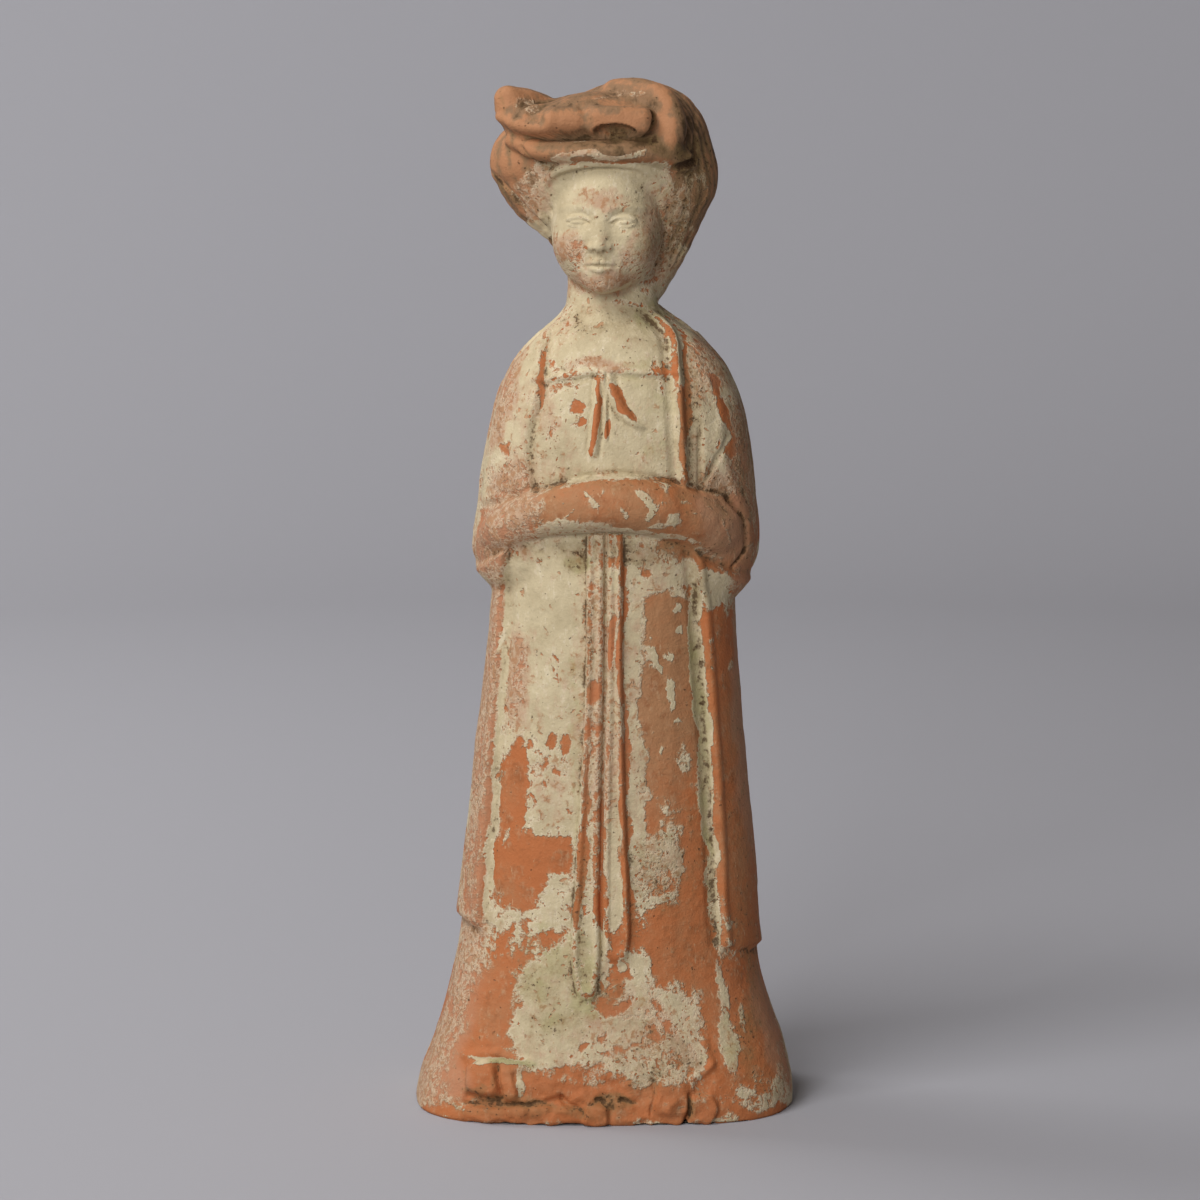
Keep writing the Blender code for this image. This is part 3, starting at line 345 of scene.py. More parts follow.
hair = dict(
    crown=(2.5, 7.0, 302.5), crownRadii=(32.6, 25.5, 22.0),
    dome=(9.5, 3.5, 311.0), domeRadii=(23.0, 22.0, 18.2),
    rightLock=[(12.0, 5.0, 268.0, 9.0), (17.0, 4.0, 282.0, 11.5), (21.5, 2.0, 297.0, 13.8)],
    leftLock=[(-11.5, 4.0, 283.5, 7.5), (-19.0, 3.0, 294.0, 10.5), (-22.5, 2.0, 303.5, 13.0)],
    nape=[(3.0, 8.0, 266.0, 12.0), (3.0, 14.0, 284.0, 15.5)],
    browBand=[(-26.5, -9.0, 310.5, 4.0), (-19.0, -14.8, 307.6, 5.2), (-9.0, -18.4, 307.2, 5.8),
               (3.0, -19.6, 307.4, 5.8), (13.0, -17.8, 306.9, 5.8), (23.0, -11.5, 304.5, 6.5)],
    hairline=[(-19.4, -5.6, 287.0, 0.7), (-18.8, -8.4, 294.0, 1.2), (-15.6, -14.8, 300.4, 1.3),
              (-9.5, -18.9, 303.2, 1.5), (-0.5, -20.7, 304.3, 1.6), (8.5, -19.5, 303.5, 1.5),
              (15.0, -15.9, 300.6, 1.3), (17.8, -12.4, 294.5, 1.1), (18.6, -10.5, 287.0, 0.7)],
    knotLeft=((-11.9, -14.2, 316.5), (7.0, 8.4, 3.9)), knotRight=((4.8, -14.8, 317.0), (11.2, 8.8, 4.3)),
    knotRounding=3.5, knotWarp=1.5,
    knotTop=(-1.0, -5.0, 319.4), knotTopRadii=(21.0, 13.5, 5.6),
    curl=[(4.0, -3.0, 325.4, 3.6), (12.0, -8.0, 325.6, 4.0), (18.4, -12.6, 322.6, 4.3),
          (21.2, -15.0, 316.8, 4.4), (20.4, -15.9, 311.4, 4.4), (17.0, -16.8, 308.6, 3.2)],
    lobe=[(-25.0, -8.0, 313.0, 5.6), (-28.6, -9.6, 318.6, 5.0), (-29.4, -10.0, 323.6, 3.9)],
    lobeTop=[(-28.6, -9.0, 323.4, 3.9), (-24.0, -6.5, 322.8, 3.8), (-19.6, -4.0, 321.2, 3.8)],
    filling=(-21.0, -11.0, 317.0), fillingRadii=(7.5, 7.0, 4.6),
    flap=[(-31.0, -11.0, 317.2, 3.0), (-26.0, -14.6, 314.8, 3.6), (-19.0, -17.4, 313.6, 3.8),
          (-11.0, -18.0, 313.8, 3.4)],
)
hairSoftness = dict(
    # how far each form melts into the ones before it
    dome=5.0, rightLock=6.0, leftLock=5.0, nape=6.0, browBand=1.6, curl=3.5, knot=1.2, knotLeft=2.5,
    knotRight=1.4, filling=2.0, lobe=3.0, lobeTop=2.0, flap=1.4, hairline=1.1, face=1.2, hollow=0.9,
)
bandSquash = 0.6  # height to depth of the band over the brow
flapSquash = 0.7  # the same for the flap under the knot
cave = dict(place=(3.0, -24.6, 313.2), radii=(7.6, 5.0, 3.3))
hollows = [
    # dark openings in the hair: start, end and width
    ((-19.0, -23.0, 312.0), (-8.5, -25.6, 311.6), 1.0),
    ((-9.0, -25.6, 311.7), (9.5, -24.6, 311.2), 0.9),
    ((15.4, -21.6, 312.2), (16.2, -20.2, 318.6), 2.0),
    ((-6.8, -24.8, 312.4), (-5.2, -24.0, 318.6), 1.1),
    ((-5.2, -24.0, 318.8), (-7.2, -19.0, 321.6), 0.8),
    ((-22.4, -17.6, 320.4), (-18.6, -15.6, 323.0), 2.2),
    ((22.6, -18.6, 301.6), (28.2, -13.6, 304.4), 1.7),
    ((28.2, -13.6, 304.4), (30.6, -9.6, 311.0), 1.6),
    ((14.4, -20.6, 300.0), (22.6, -17.2, 300.8), 1.2),
    ((22.6, -15.6, 308.0), (26.2, -12.8, 314.0), 1.0),
    ((-25.8, -16.0, 308.4), (-22.4, -16.8, 304.6), 0.9),
    ((-22.4, -16.8, 304.6), (-16.0, -19.0, 302.8), 0.8),
]


def knotClay(at):
    # the folded knot, pinched into uneven lumps
    soft = hairSoftness
    warp = hair["knotWarp"]
    at = tuple(a + warp * grain(at, 9.0, 11 + k) for k, a in enumerate(at))
    top = ellipsoid(at, hair["knotTop"], hair["knotTopRadii"])
    knot = merge(slab(at, *hair["knotLeft"], hair["knotRounding"]), top, soft["knotLeft"])
    knot = merge(knot, slab(at, *hair["knotRight"], hair["knotRounding"]), soft["knotRight"])
    knot = merge(knot, ellipsoid(at, hair["filling"], hair["fillingRadii"]), soft["filling"])
    for name in ("lobe", "lobeTop"):
        knot = merge(knot, rope(at, hair[name]), soft[name])
    knot = merge(knot, rope(at, hair["flap"], flapSquash), soft["flap"])
    return carve(knot, ellipsoid(at, cave["place"], cave["radii"]), soft["hollow"])


def hairClay(at):
    soft = hairSoftness
    shape = ellipsoid(at, hair["crown"], hair["crownRadii"])
    shape = merge(shape, ellipsoid(at, hair["dome"], hair["domeRadii"]), soft["dome"])
    for name in ("rightLock", "leftLock", "nape"):
        shape = merge(shape, rope(at, hair[name]), soft[name])
    shape = merge(shape, rope(at, hair["browBand"], bandSquash), soft["browBand"])
    shape = merge(shape, rope(at, hair["curl"]), soft["curl"])
    return merge(shape, knotClay(at), soft["knot"])


def garmentClay(at):
    skirt = np.maximum(loft(at, skirtRings, skirtCorners), at[2] - skirtTop)
    shawl = np.maximum(loft(at, shawlRings, shawlCorners), at[2] - shawlTop)
    return merge(skirt, np.maximum(shawl, shawlBottom - at[2]), shawlSoftness)


def headClay(at):
    shape = merge(faceClay(at), hairClay(at), hairSoftness["face"])
    shape = merge(shape, rope(at, hair["hairline"]), hairSoftness["hairline"])
    for start, end, width in hollows:
        shape = carve(shape, roll(at, start, end, width, width), hairSoftness["hollow"])
    return shape


clayParts = [
    # what is felt for, between which heights, and how far it melts into the rest
    (garmentClay, -99.0, 281.0, 0.0), (sleeveClay, 168.0, 218.0, sleeveSoftness),
    (headClay, 250.0, 399.0, neckSoftness),
]
farOff = 30.0  # the distance taken where no part is near


def clay(at):
    # the whole figure's broad form, each part felt for only near its own height
    at = (atRestWidth(at[0], at[2]), at[1], at[2])
    shape = np.full(at[2].shape, farOff)
    for part, low, high, softness in clayParts:
        here = np.nonzero((at[2] > low) & (at[2] < high))[0]
        gap = part(tuple(a[here] for a in at))
        shape[here] = merge(shape[here], gap, softness) if softness else gap
    return shape


# Carved lines and raised strips, as heights in millimetres on the broad form

coatEdge = dict(
    right=[(56, 37.6), (65, 36.4), (91, 35.2), (119, 33.4), (144, 31.6), (170, 29.6), (186, 28.0)],
    left=[(60, 38.6), (75, 37.2), (94, 35.9), (113, 34.2), (138, 32.4), (157, 31.3), (176, 30.3)],
    hem=((-50, 65.0), (-38, 63.0), (37, 58.0), (50, 54.5)), thickness=2.0,
    rightRim=(1.3, 1.7, 0.7), leftRim=(1.3, 1.7, 0.5),  # how far inside the edge, half width, rise
    rightGutter=(-2.0, 2.6, 0.9), leftGutter=(-1.6, 2.0, 0.5),  # the same for the grooves beside it
)
ribbons = dict(
    firstLeft=[(43, -7.8), (51, -9.4), (81, -8.8), (107, -7.4), (132, -5.9), (157, -5.3), (190, -4.9)],
    firstRight=[(43, -2.6), (52, -1.3), (75, -1.2), (107, -0.8), (138, 0.0), (190, 0.4)],
    secondRight=[(55, 7.0), (61, 8.2), (75, 8.1), (107, 6.9), (138, 6.2), (190, 6.2)],
    firstEnd=43.6, secondEnd=55.6, thickness=1.0, rim=0.75, rimWidth=1.5,
    ridge=(1.2, 1.5, 0.55), seam=(-0.4, 0.8, 0.35), overlap=0.9,
)
shawlEdge = dict(
    left=[(198, -22.4), (223, -22.1), (229, -20.2), (239, -18.5), (250, -17.4), (257, -11.5)],
    right=[(200, 25.0), (216, 24.1), (228, 23.4), (241, 22.2), (252, 20.0), (257, 15.0)],
    thickness=0.8, leftGroove=(-1.3, 1.8, 0.55), leftRim=(1.4, 1.6, 0.45), rightRidge=(0.2, 2.3, 1.7),
    innerGroove=(-2.6, 2.6, 0.75), outerGroove=(4.2, 3.4, 0.8),
)
bow = dict(
    top=[(-22, 236.6), (-10, 238.6), (0, 240.2), (11, 239.6), (24, 239.2)],
    leftTail=[(214, -3.1), (226, -2.2), (238, -1.2)],
    shortTail=[(219, 0.9), (230, 0.6), (238, 0.2)],
    rightTail=[(222.6, 11.2), (224.5, 8.6), (227.5, 6.0), (232.5, 3.2), (238.5, 0.9)],
    tailWidth=dict(leftTail=2.0, shortTail=1.0, rightTail=2.1),
    tailRise=dict(leftTail=1.15, shortTail=0.5, rightTail=1.3),
    sideGroove=0.3, topRim=(0.2, 1.6, 0.75), topGroove=(-1.9, 1.4, 0.45), thickness=0.35,
)


def welt(off, sizes):
    # a rounded line beside an edge: sizes are its place, half width and rise
    place, halfWidth, rise = sizes
    return rise * bump(off, place, halfWidth)


def stripHeight(inside, thickness, rim, rimWidth):
    # a flat band with a raised rim: inside is the depth in from its edge
    return thickness * smoothStep(-0.5, 0.5, inside) + rim * bump(inside, 0.85 * rimWidth, rimWidth)


def coatRelief(x, y, z):
    right = x - curveAt(coatEdge["right"], z)
    left = -x - curveAt(coatEdge["left"], z)
    behind = smoothStep(4.0, 12.0, y) * 6.0 - 3.0
    inside = np.maximum(np.maximum(right, left), behind)
    hem = z - curveAt(coatEdge["hem"], x) - 0.5 * grain((x, y, z * 0), 9.0, 5)
    body = np.minimum(inside, hem)
    height = coatEdge["thickness"] * smoothStep(-0.7, 0.7, body)
    front = smoothStep(2.0, -6.0, y)
    edge = welt(right, coatEdge["rightRim"]) + welt(left, coatEdge["leftRim"])
    gutter = welt(right, coatEdge["rightGutter"]) + welt(left, coatEdge["leftGutter"])
    aboveHem = smoothStep(-1.0, 1.0, hem)
    underBand = smoothStep(-0.5, -3.0, z - curveAt(bandBottom, x)) + smoothStep(2.0, 8.0, y)
    return (height + front * aboveHem * (edge - gutter)) * np.clip(underBand, 0.0, 1.0)


def ribbonRelief(x, y, z):
    firstLeft = x - curveAt(ribbons["firstLeft"], z)
    firstRight = curveAt(ribbons["firstRight"], z) - x
    secondLeft = x - curveAt(ribbons["firstRight"], z) - ribbons["overlap"]
    secondRight = curveAt(ribbons["secondRight"], z) - x
    sizes = (ribbons["thickness"], ribbons["rim"], ribbons["rimWidth"])
    height = 0.0
    for one, other, end in ((firstLeft, firstRight, ribbons["firstEnd"]),
                            (secondLeft, secondRight, ribbons["secondEnd"])):
        inside = merge(merge(one, other, 2.0), z - end, 3.0)
        height = np.maximum(height, stripHeight(inside, *sizes))
    lines = welt(secondRight, ribbons["ridge"]) - welt(secondLeft, ribbons["seam"])
    shown = smoothStep(ribbons["secondEnd"], ribbons["secondEnd"] + 6.0, z)
    return (height + lines * shown) * smoothStep(0.0, -1.5, z - curveAt(bandBottom, x))


def bodiceRelief(x, y, z):
    band = z - curveAt(bow["top"], x)
    between = smoothStep(-24.0, -20.0, x) * smoothStep(25.0, 21.0, x)
    height = (welt(band, bow["topRim"]) - welt(band, bow["topGroove"])) * between
    height = height + bow["thickness"] * smoothStep(0.4, -0.8, band) * between
    height = height - 0.35 * bump(band + 0.16 * np.abs(x) + 0.6, -1.2, 1.0) * bump(x, -10.0, 9.0)
    for tail, width in bow["tailWidth"].items():
        stations = bow[tail]
        off = x - curveAt(stations, z)
        if tail == "rightTail":
            off = off * 0.72
        ends = smoothStep(stations[0][0] - 1.0, stations[0][0] + 1.2, z) * smoothStep(240.5, 238.0, z)
        beside = bow["sideGroove"] * bump(abs(off), width, 0.9)
        height = height + (bow["tailRise"][tail] * bump(off, 0.0, width) - beside) * ends
    return height


def shawlRelief(x, y, z):
    low = smoothStep(-0.5, 1.5, z - curveAt(bandTop, x))
    left = curveAt(shawlEdge["left"], z) - x
    right = x - curveAt(shawlEdge["right"], z)
    upper = smoothStep(259.5, 254.0, z)
    height = shawlEdge["thickness"] * smoothStep(-0.8, 0.9, left)
    height = height + welt(left, shawlEdge["leftRim"]) - welt(left, shawlEdge["leftGroove"])
    height = height + welt(right, shawlEdge["rightRidge"])
    height = height - welt(right, shawlEdge["innerGroove"]) - welt(right, shawlEdge["outerGroove"])
    return height * low * upper


arms = dict(
    # lines of the sleeves as (height, across)
    outerFold=[(184, 46.2), (193, 45.2), (203, 41.2), (216, 36.6), (228, 36.4), (240, 31.0)],
    cuff=[(178, 39.5), (182, 43.2), (188, 43.9), (194, 42.2), (199, 38.0)],
    # each line's place, half width and height, and how a leaning one starts (across, height) and leans
    fold=(-0.4, 2.4, 0.6), cuffGroove=(0.8, 1.2, 1.0), upright=(30.3, 1.3, 0.8), slant=(0.0, 1.6, 0.8),
    slantStart=(31.5, 205.0), slantLean=0.52, leftFold=(0.0, 1.5, 0.45), leftStart=(30.5, 200.0),
    leftLean=0.1, crease=(0.0, 1.3, 0.55), creaseStart=(28.0, 201.0), creaseLean=0.1,
    rim=(-1.2, 1.5, 0.35), rimGroove=(1.0, 1.6, 0.6),
)


sleeveWaves = ((0.4, 8.0, 21), (0.2, 3.6, 22))
skinWaves = ((0.32, 17.0, 1), (0.14, 6.0, 2), (0.05, 2.2, 4))


def armRelief(x, y, z):
    upright = welt(x, arms["upright"]) * smoothStep(199.0, 206.0, z) * smoothStep(228.0, 218.0, z)
    across, up = arms["slantStart"]
    slant = welt(x - across - arms["slantLean"] * (z - up), arms["slant"])
    slant = slant * smoothStep(201.0, 206.0, z) * smoothStep(222.0, 214.0, z)
    outer = curveAt(arms["outerFold"], z)
    ridge = welt(x - outer, arms["fold"]) * smoothStep(186.0, 200.0, z) * smoothStep(243.0, 234.0, z)
    end = curveAt(arms["cuff"], z)
    cuff = welt(x - end, arms["cuffGroove"]) * smoothStep(175.0, 180.0, z) * smoothStep(203.0, 197.0, z)
    across, up = arms["leftStart"]
    fold = welt(-x - across + arms["leftLean"] * (z - up), arms["leftFold"])
    fold = fold * smoothStep(203.0, 210.0, z) * smoothStep(236.0, 224.0, z)
    across, up = arms["creaseStart"]
    crease = welt(z - up + arms["creaseLean"] * (x + across), arms["crease"]) * bump(x, -29.0, 9.0)
    over = z - curveAt(bandTop, x)
    under = z - curveAt(bandBottom, x)
    along = smoothStep(47.0, 38.0, np.abs(x - 3.0))
    rollEdge = welt(over, arms["rim"]) - welt(over, arms["rimGroove"])
    onRoll = smoothStep(0.0, -3.0, over) * smoothStep(0.0, 3.0, under)
    uneven = waves((x, y, z), sleeveWaves)
    return ridge - upright - slant - cuff - fold - crease + (rollEdge + uneven * onRoll) * along


hemLumps = [
    # broken clay at the foot in front: across, height, half width, half height, how far it stands out
    (-37.6, 18.0, 4.4, 4.9, 2.7), (-29.8, 16.8, 2.7, 4.6, 1.7), (-24.0, 7.6, 19.0, 2.6, 1.3),
    (-2.6, 7.6, 3.4, 2.6, 2.0), (22.0, 13.6, 6.4, 5.6, 1.5), (31.2, 9.0, 3.6, 4.4, 1.7),
    (9.5, 9.0, 6.0, 3.4, 0.6),
]
hemCracks = [
    # lines pressed or split into it: across and height at each end, half width, depth
    (-43.0, 10.2, -26.0, 10.8, 0.9, 1.4), (-26.0, 10.8, -14.0, 12.6, 0.8, 1.2),
    (-14.0, 12.6, -6.4, 8.6, 0.7, 1.1), (-32.6, 22.0, -32.4, 12.6, 0.7, 1.5),
    (-42.0, 12.4, -33.6, 12.2, 1.0, 1.6), (27.6, 13.6, 26.2, 4.0, 0.8, 1.9),
    (-2.4, 12.6, 0.6, 12.2, 1.1, 1.3), (6.0, 12.6, 9.0, 11.4, 1.0, 1.3), (14.8, 8.0, 15.6, 18.0, 0.8, 0.8),
]
hemWelts = [
    # edges of clay that stand up: across and height at each end, half width, rise
    (-42.5, 24.6, -33.0, 25.8, 1.3, 0.7), (-33.0, 25.8, -22.0, 23.8, 1.4, 0.7),
    (28.4, 19.0, 34.0, 22.0, 1.3, 0.9), (34.0, 22.0, 32.6, 29.0, 1.3, 0.7),
]


def lump(x, z, across, up, halfWidth, halfHeight, edge=0.22):
    # a raised patch with rounded corners, 1 inside and 0 outside
    aside = np.abs(x - across) / halfWidth
    away = np.abs(z - up) / halfHeight
    return smoothStep(1.0 + edge, 1.0 - edge, (aside ** 3 + away ** 3) ** (1 / 3))


def lineOff(x, z, x0, z0, x1, z1):
    # how far points lie from a straight line between two places on the front
    run, rise = x1 - x0, z1 - z0
    along = np.clip(((x - x0) * run + (z - z0) * rise) / (run * run + rise * rise), 0.0, 1.0)
    return np.hypot(x - x0 - along * run, z - z0 - along * rise)


def hemRelief(x, y, z):
    # the foot of the skirt in front, where the clay is torn and lumpy
    level = np.zeros_like(z)
    x = x + 1.4 * grain((x, level, z), 5.0, 3)
    z = z + 1.1 * grain((x, level, z), 4.5, 9)
    torn = lump(x, z, -4.0, 8.0, 40.0, 10.0, 0.35)
    height = torn * (0.45 * grain((x, y, z), 3.2, 8) - 0.7)
    for across, up, halfWidth, halfHeight, rise in hemLumps:
        height = height + rise * lump(x, z, across, up, halfWidth, halfHeight)
    for x0, z0, x1, z1, halfWidth, depth in hemCracks:
        height = height - depth * bump(lineOff(x, z, x0, z0, x1, z1), 0.0, 1.4 * halfWidth)
    for x0, z0, x1, z1, halfWidth, rise in hemWelts:
        height = height + rise * bump(lineOff(x, z, x0, z0, x1, z1), 0.0, 1.6 * halfWidth)
    return height


combing = dict(across=3.0, deep=4.0, strands=19.0, fineLines=47.0, twist=0.22, wander=2.4)


def combAngle(x, y):
    # the turn around the line that the combed hair fans out from, 0 in front
    return np.arctan2(x - combing["across"], -(y - combing["deep"]))


def combLines(at):
    wave = combing["twist"] * at[2] + combing["wander"] * grain(at, 9.0, 25)
    return np.sin(combAngle(at[0], at[1]) * combing["fineLines"] + wave)


def hairRelief(x, y, z):
    # combed strands that fan up from the nape, and the edge of the hair on the left side
    around = combAngle(x, y)
    outer = np.sqrt((x - combing["across"]) ** 2 + (y - combing["deep"]) ** 2)
    strands = np.sin(around * combing["strands"] + 0.10 * z + 1.2 * grain((x, y, z), 14.0, 2))
    sides = smoothStep(0.85, 1.2, np.abs(around)) * smoothStep(15.0, 21.0, outer)
    combed = strands * sides * smoothStep(262.0, 270.0, z) * smoothStep(327.0, 318.0, z)
    deep = np.clip(strands, 0.0, 1.0) ** 3
    right = sides * smoothStep(8.0, 14.0, x) * smoothStep(264.0, 272.0, z) * smoothStep(312.0, 300.0, z)
    seam = bump(z - 296.0 - 1.05 * (-30.5 - x), 0.0, 1.3) * smoothStep(-16.0, -19.0, x)
    seam = seam * smoothStep(6.0, -2.0, y) * smoothStep(-36.0, -33.5, x)
    groove = bump(x, 28.6, 1.2) * bump(z, 312.0, 12.0) * smoothStep(4.0, -2.0, y)
    return 0.22 * combed - 0.55 * deep * right - 0.7 * seam - 0.7 * groove


def relief(at):
    at = (atRestWidth(at[0], at[2]), at[1], at[2])
    x, y, z = at
    front = smoothStep(-2.0, -9.0, y)
    garment = smoothStep(262.0, 257.0, z)
    height = coatRelief(x, y, z) * garment
    height = height + front * garment * (ribbonRelief(x, y, z) + bodiceRelief(x, y, z))
    height = height + front * garment * (shawlRelief(x, y, z) + armRelief(x, y, z))
    height = height + front * hemRelief(x, y, z)
    height = height + hairRelief(x, y, z) * smoothStep(262.0, 268.0, z)
    height = height + faceLines(at) * smoothStep(262.0, 264.0, z) * smoothStep(304.0, 300.0, z)
    calm = 1.0 - 0.75 * smoothStep(262.0, 268.0, z) * smoothStep(-10.0, -16.0, y)
    return height + waves(at, skinWaves) * calm


# Where the clay is felt for: a line up the figure's middle, and rays that leave it

rayStops = [
    # (share of the rings from crown to sole, height on the line, degrees above level)
    (0.000, 305.0, 90.0), (0.050, 305.0, 58.0), (0.180, 305.0, 0.0), (0.230, 298.0, -5.0),
    (0.335, 283.0, -17.0), (0.375, 276.5, -26.0), (0.405, 271.0, -29.0), (0.430, 262.0, -22.0),
    (0.465, 250.0, -12.0), (0.500, 238.0, -2.0), (0.535, 225.0, -2.0), (0.600, 207.0, -14.0),
    (0.665, 196.0, -28.0), (0.690, 187.0, -28.0), (0.720, 165.0, -20.0), (0.755, 138.0, -8.0),
    (0.870, 60.0, 0.0), (0.905, 30.0, 0.0), (0.962, 9.0, 0.0), (0.980, 9.0, -6.0), (1.000, 9.0, -90.0),
]
middleLine = [
    # (height, across, depth) of the line that the rays leave
    (0, 0.4, 0.0), (100, 2.0, 0.0), (170, 4.0, 0.0), (230, 5.0, 0.0), (262, 3.0, 1.0),
    (285, 1.5, 1.5), (305, 0.5, 1.0),
]
frontCrowding = 0.34  # how much closer the columns stand in front than at the back


def rayStarts(ringShare, azimuth):
    stops = np.array(rayStops)
    height = np.interp(ringShare, stops[:, 0], stops[:, 1])
    rise = np.radians(np.interp(ringShare, stops[:, 0], stops[:, 2]))
    around = azimuth - frontCrowding * np.sin(azimuth)
    start = (curveAt(middleLine, height, 1), curveAt(middleLine, height, 2), height)
    way = (np.cos(rise) * np.sin(around), -np.cos(rise) * np.cos(around), np.sin(rise))
    return start, way


def standing(at):
    # the clay, cut flat where it stands
    return carve(clay(at), at[2] - soleHeight, soleSoftness)


feeling = dict(
    # where the rays begin, how they go in, and how often the last step is halved
    reach=74.0, steps=60, care=0.62, shortest=0.35, longest=6.0, halvings=9,
)


def feelSkin(start, way):
    # goes in along each ray until it meets the clay, then closes in on the skin
    far = np.full(start[0].shape, feeling["reach"])
    near = np.zeros_like(far)
    out = far.copy()
    loose = np.ones(far.shape, bool)
    for _ in range(feeling["steps"]):
        here = np.nonzero(loose)[0]
        if not len(here):
            break
        at = tuple(s[here] + out[here] * w[here] for s, w in zip(start, way))
        gap = standing(at)
        met = gap <= 0
        near[here[met]] = out[here[met]]
        going = here[~met]
        far[going] = out[going]
        out[going] -= np.clip(feeling["care"] * gap[~met], feeling["shortest"], feeling["longest"])
        loose[here[met]] = False
        loose[going[out[going] <= 0.5]] = False
    for _ in range(feeling["halvings"]):
        half = (near + far) / 2
        inside = standing(tuple(s + half * w for s, w in zip(start, way))) <= 0
        near = np.where(inside, half, near)
        far = np.where(inside, far, half)
    reach = (near + far) / 2
    return tuple(s + reach * w for s, w in zip(start, way))


def skinSlope(at, step=0.25):
    # outward direction at points of the skin
    here = standing(at)
    slope = []
    for axis in range(3):
        moved = list(at)
        moved[axis] = at[axis] + step
        slope.append((standing(tuple(moved)) - here) / step)
    length = np.maximum(np.sqrt(sum(s * s for s in slope)), 1e-6)
    return tuple(s / length for s in slope)


# The finer relief, which only the finished clay has

deepCave = dict(place=(3.4, -23.2, 313.0), radii=(7.2, 5.2, 3.2), depth=2.0)
fineWaves = ((0.05, 3.3, 23), (0.035, 1.6, 24))
tornWaves = ((0.8, 4.0, 28), (0.4, 1.9, 29))


def caveArch(at):
    return ellipsoid(at, deepCave["place"], deepCave["radii"])


def fineRelief(at):
    x, y, z = at
    pits = np.clip(grain(at, 2.6, 21) - 0.62, 0.0, 1.0) * 1.1
    pits = pits * smoothStep(-0.2, 0.5, grain(at, 16.0, 22))
    lumps = waves(at, fineWaves)
    hairy = smoothStep(264.0, 272.0, z) * smoothStep(0.75, 1.05, np.abs(combAngle(x, y)))
    weathered = grain((x, y, z * 0.6), 4.2, 26) * grain(at, 11.0, 27)
    onFace = smoothStep(262.0, 266.0, z) * smoothStep(304.0, 300.0, z) * smoothStep(-10.0, -15.0, y)
    skin = (lumps + 0.1 * weathered - 0.5 * pits) * (1.0 - 0.8 * onFace)
    u, v, w = headFrame(at)
    mouth = faceMeasures()[3]
    upper = 0.45 * bump(w, mouth + 1.0 - 0.02 * u * u, 1.3) * smoothStep(4.8, 3.0, np.abs(u))
    lower = 0.60 * bump(w, mouth - 1.2 + 0.03 * u * u, 1.4) * smoothStep(4.2, 2.4, np.abs(u))
    lips = (upper + lower) * smoothStep(-15.0, -18.0, v)
    hollow = deepCave["depth"] * smoothStep(0.0, -1.2, caveArch(at))
    torn = lump(x, z, -3.0, 11.0, 42.0, 12.0, 0.35) * smoothStep(-6.0, -14.0, y)
    torn = torn * waves(at, tornWaves)
    return skin + 0.1 * combLines(at) * hairy + lips + torn - hollow


# The ball of clay, pressed onto the form and thinned where it is plain

ball = dict(columns=72, rings=78, splits=3, quickSplits=2, triangles=196000, soleBand=0.3)


def vertexTable(mesh, name):
    # the points or the normals of a mesh, one row each
    values = np.empty(3 * len(mesh.vertices))
    mesh.vertices.foreach_get(name, values)
    return values.reshape(-1, 3)


def pressBall(mesh):
    x, y, z = vertexTable(mesh, "co").T
    share = np.arccos(np.clip(z / np.sqrt(x * x + y * y + z * z), -1.0, 1.0)) / math.pi
    azimuth = np.where(np.hypot(x, y) > 1e-6, np.arctan2(x, -y), 0.0)
    start, way = rayStarts(share, azimuth)
    skin = feelSkin(start, way)
    outward = skinSlope(skin)
    rise = relief(skin) + fineRelief(skin)
    points = np.stack([place + rise * out for place, out in zip(skin, outward)], 1)
    mesh.vertices.foreach_set("co", points.ravel())
    mesh.update()


def fitToBox(mesh):
    # flattens the sole, stands the figure at the origin and scales it to the solid's height
    points = vertexTable(mesh, "co")
    points[points[:, 2] < soleHeight + ball["soleBand"], 2] = soleHeight
    low, high = points.min(0), points.max(0)
    middle = np.array([(low[0] + high[0]) / 2, (low[1] + high[1]) / 2, soleHeight])
    size = (high[2] - soleHeight) * mm / (cadBox[1][2] - cadBox[0][2])
    mesh.vertices.foreach_set("co", ((points - middle) * mm / size).ravel())
    mesh.update()
    return middle, size


def makeFigure():
    bpy.ops.object.select_all(action="DESELECT")
    bpy.ops.mesh.primitive_uv_sphere_add(segments=ball["columns"], ring_count=ball["rings"])
    figure = bpy.context.object
    figure.name = "courtLady"
    finer = figure.modifiers.new("finer", "SUBSURF")
    finer.subdivision_type = "SIMPLE"
    finer.levels = ball["splits"]
    bpy.ops.object.modifier_apply(modifier=finer.name)
    pressBall(figure.data)
    print("figure pressed,", len(figure.data.vertices), "points")
    thinner = figure.modifiers.new("thinner", "DECIMATE")
    thinner.ratio = min(1.0, ball["triangles"] / (2 * len(figure.data.polygons)))
    bpy.ops.object.modifier_apply(modifier=thinner.name)
    middle, size = fitToBox(figure.data)
    bpy.ops.object.shade_smooth()
    figure.data.name = "courtLady"
    print("figure thinned,", len(figure.data.polygons), "faces")
    return figure, middle, size


proudTurns = 30  # rounds of smoothing that the clay's height is measured against


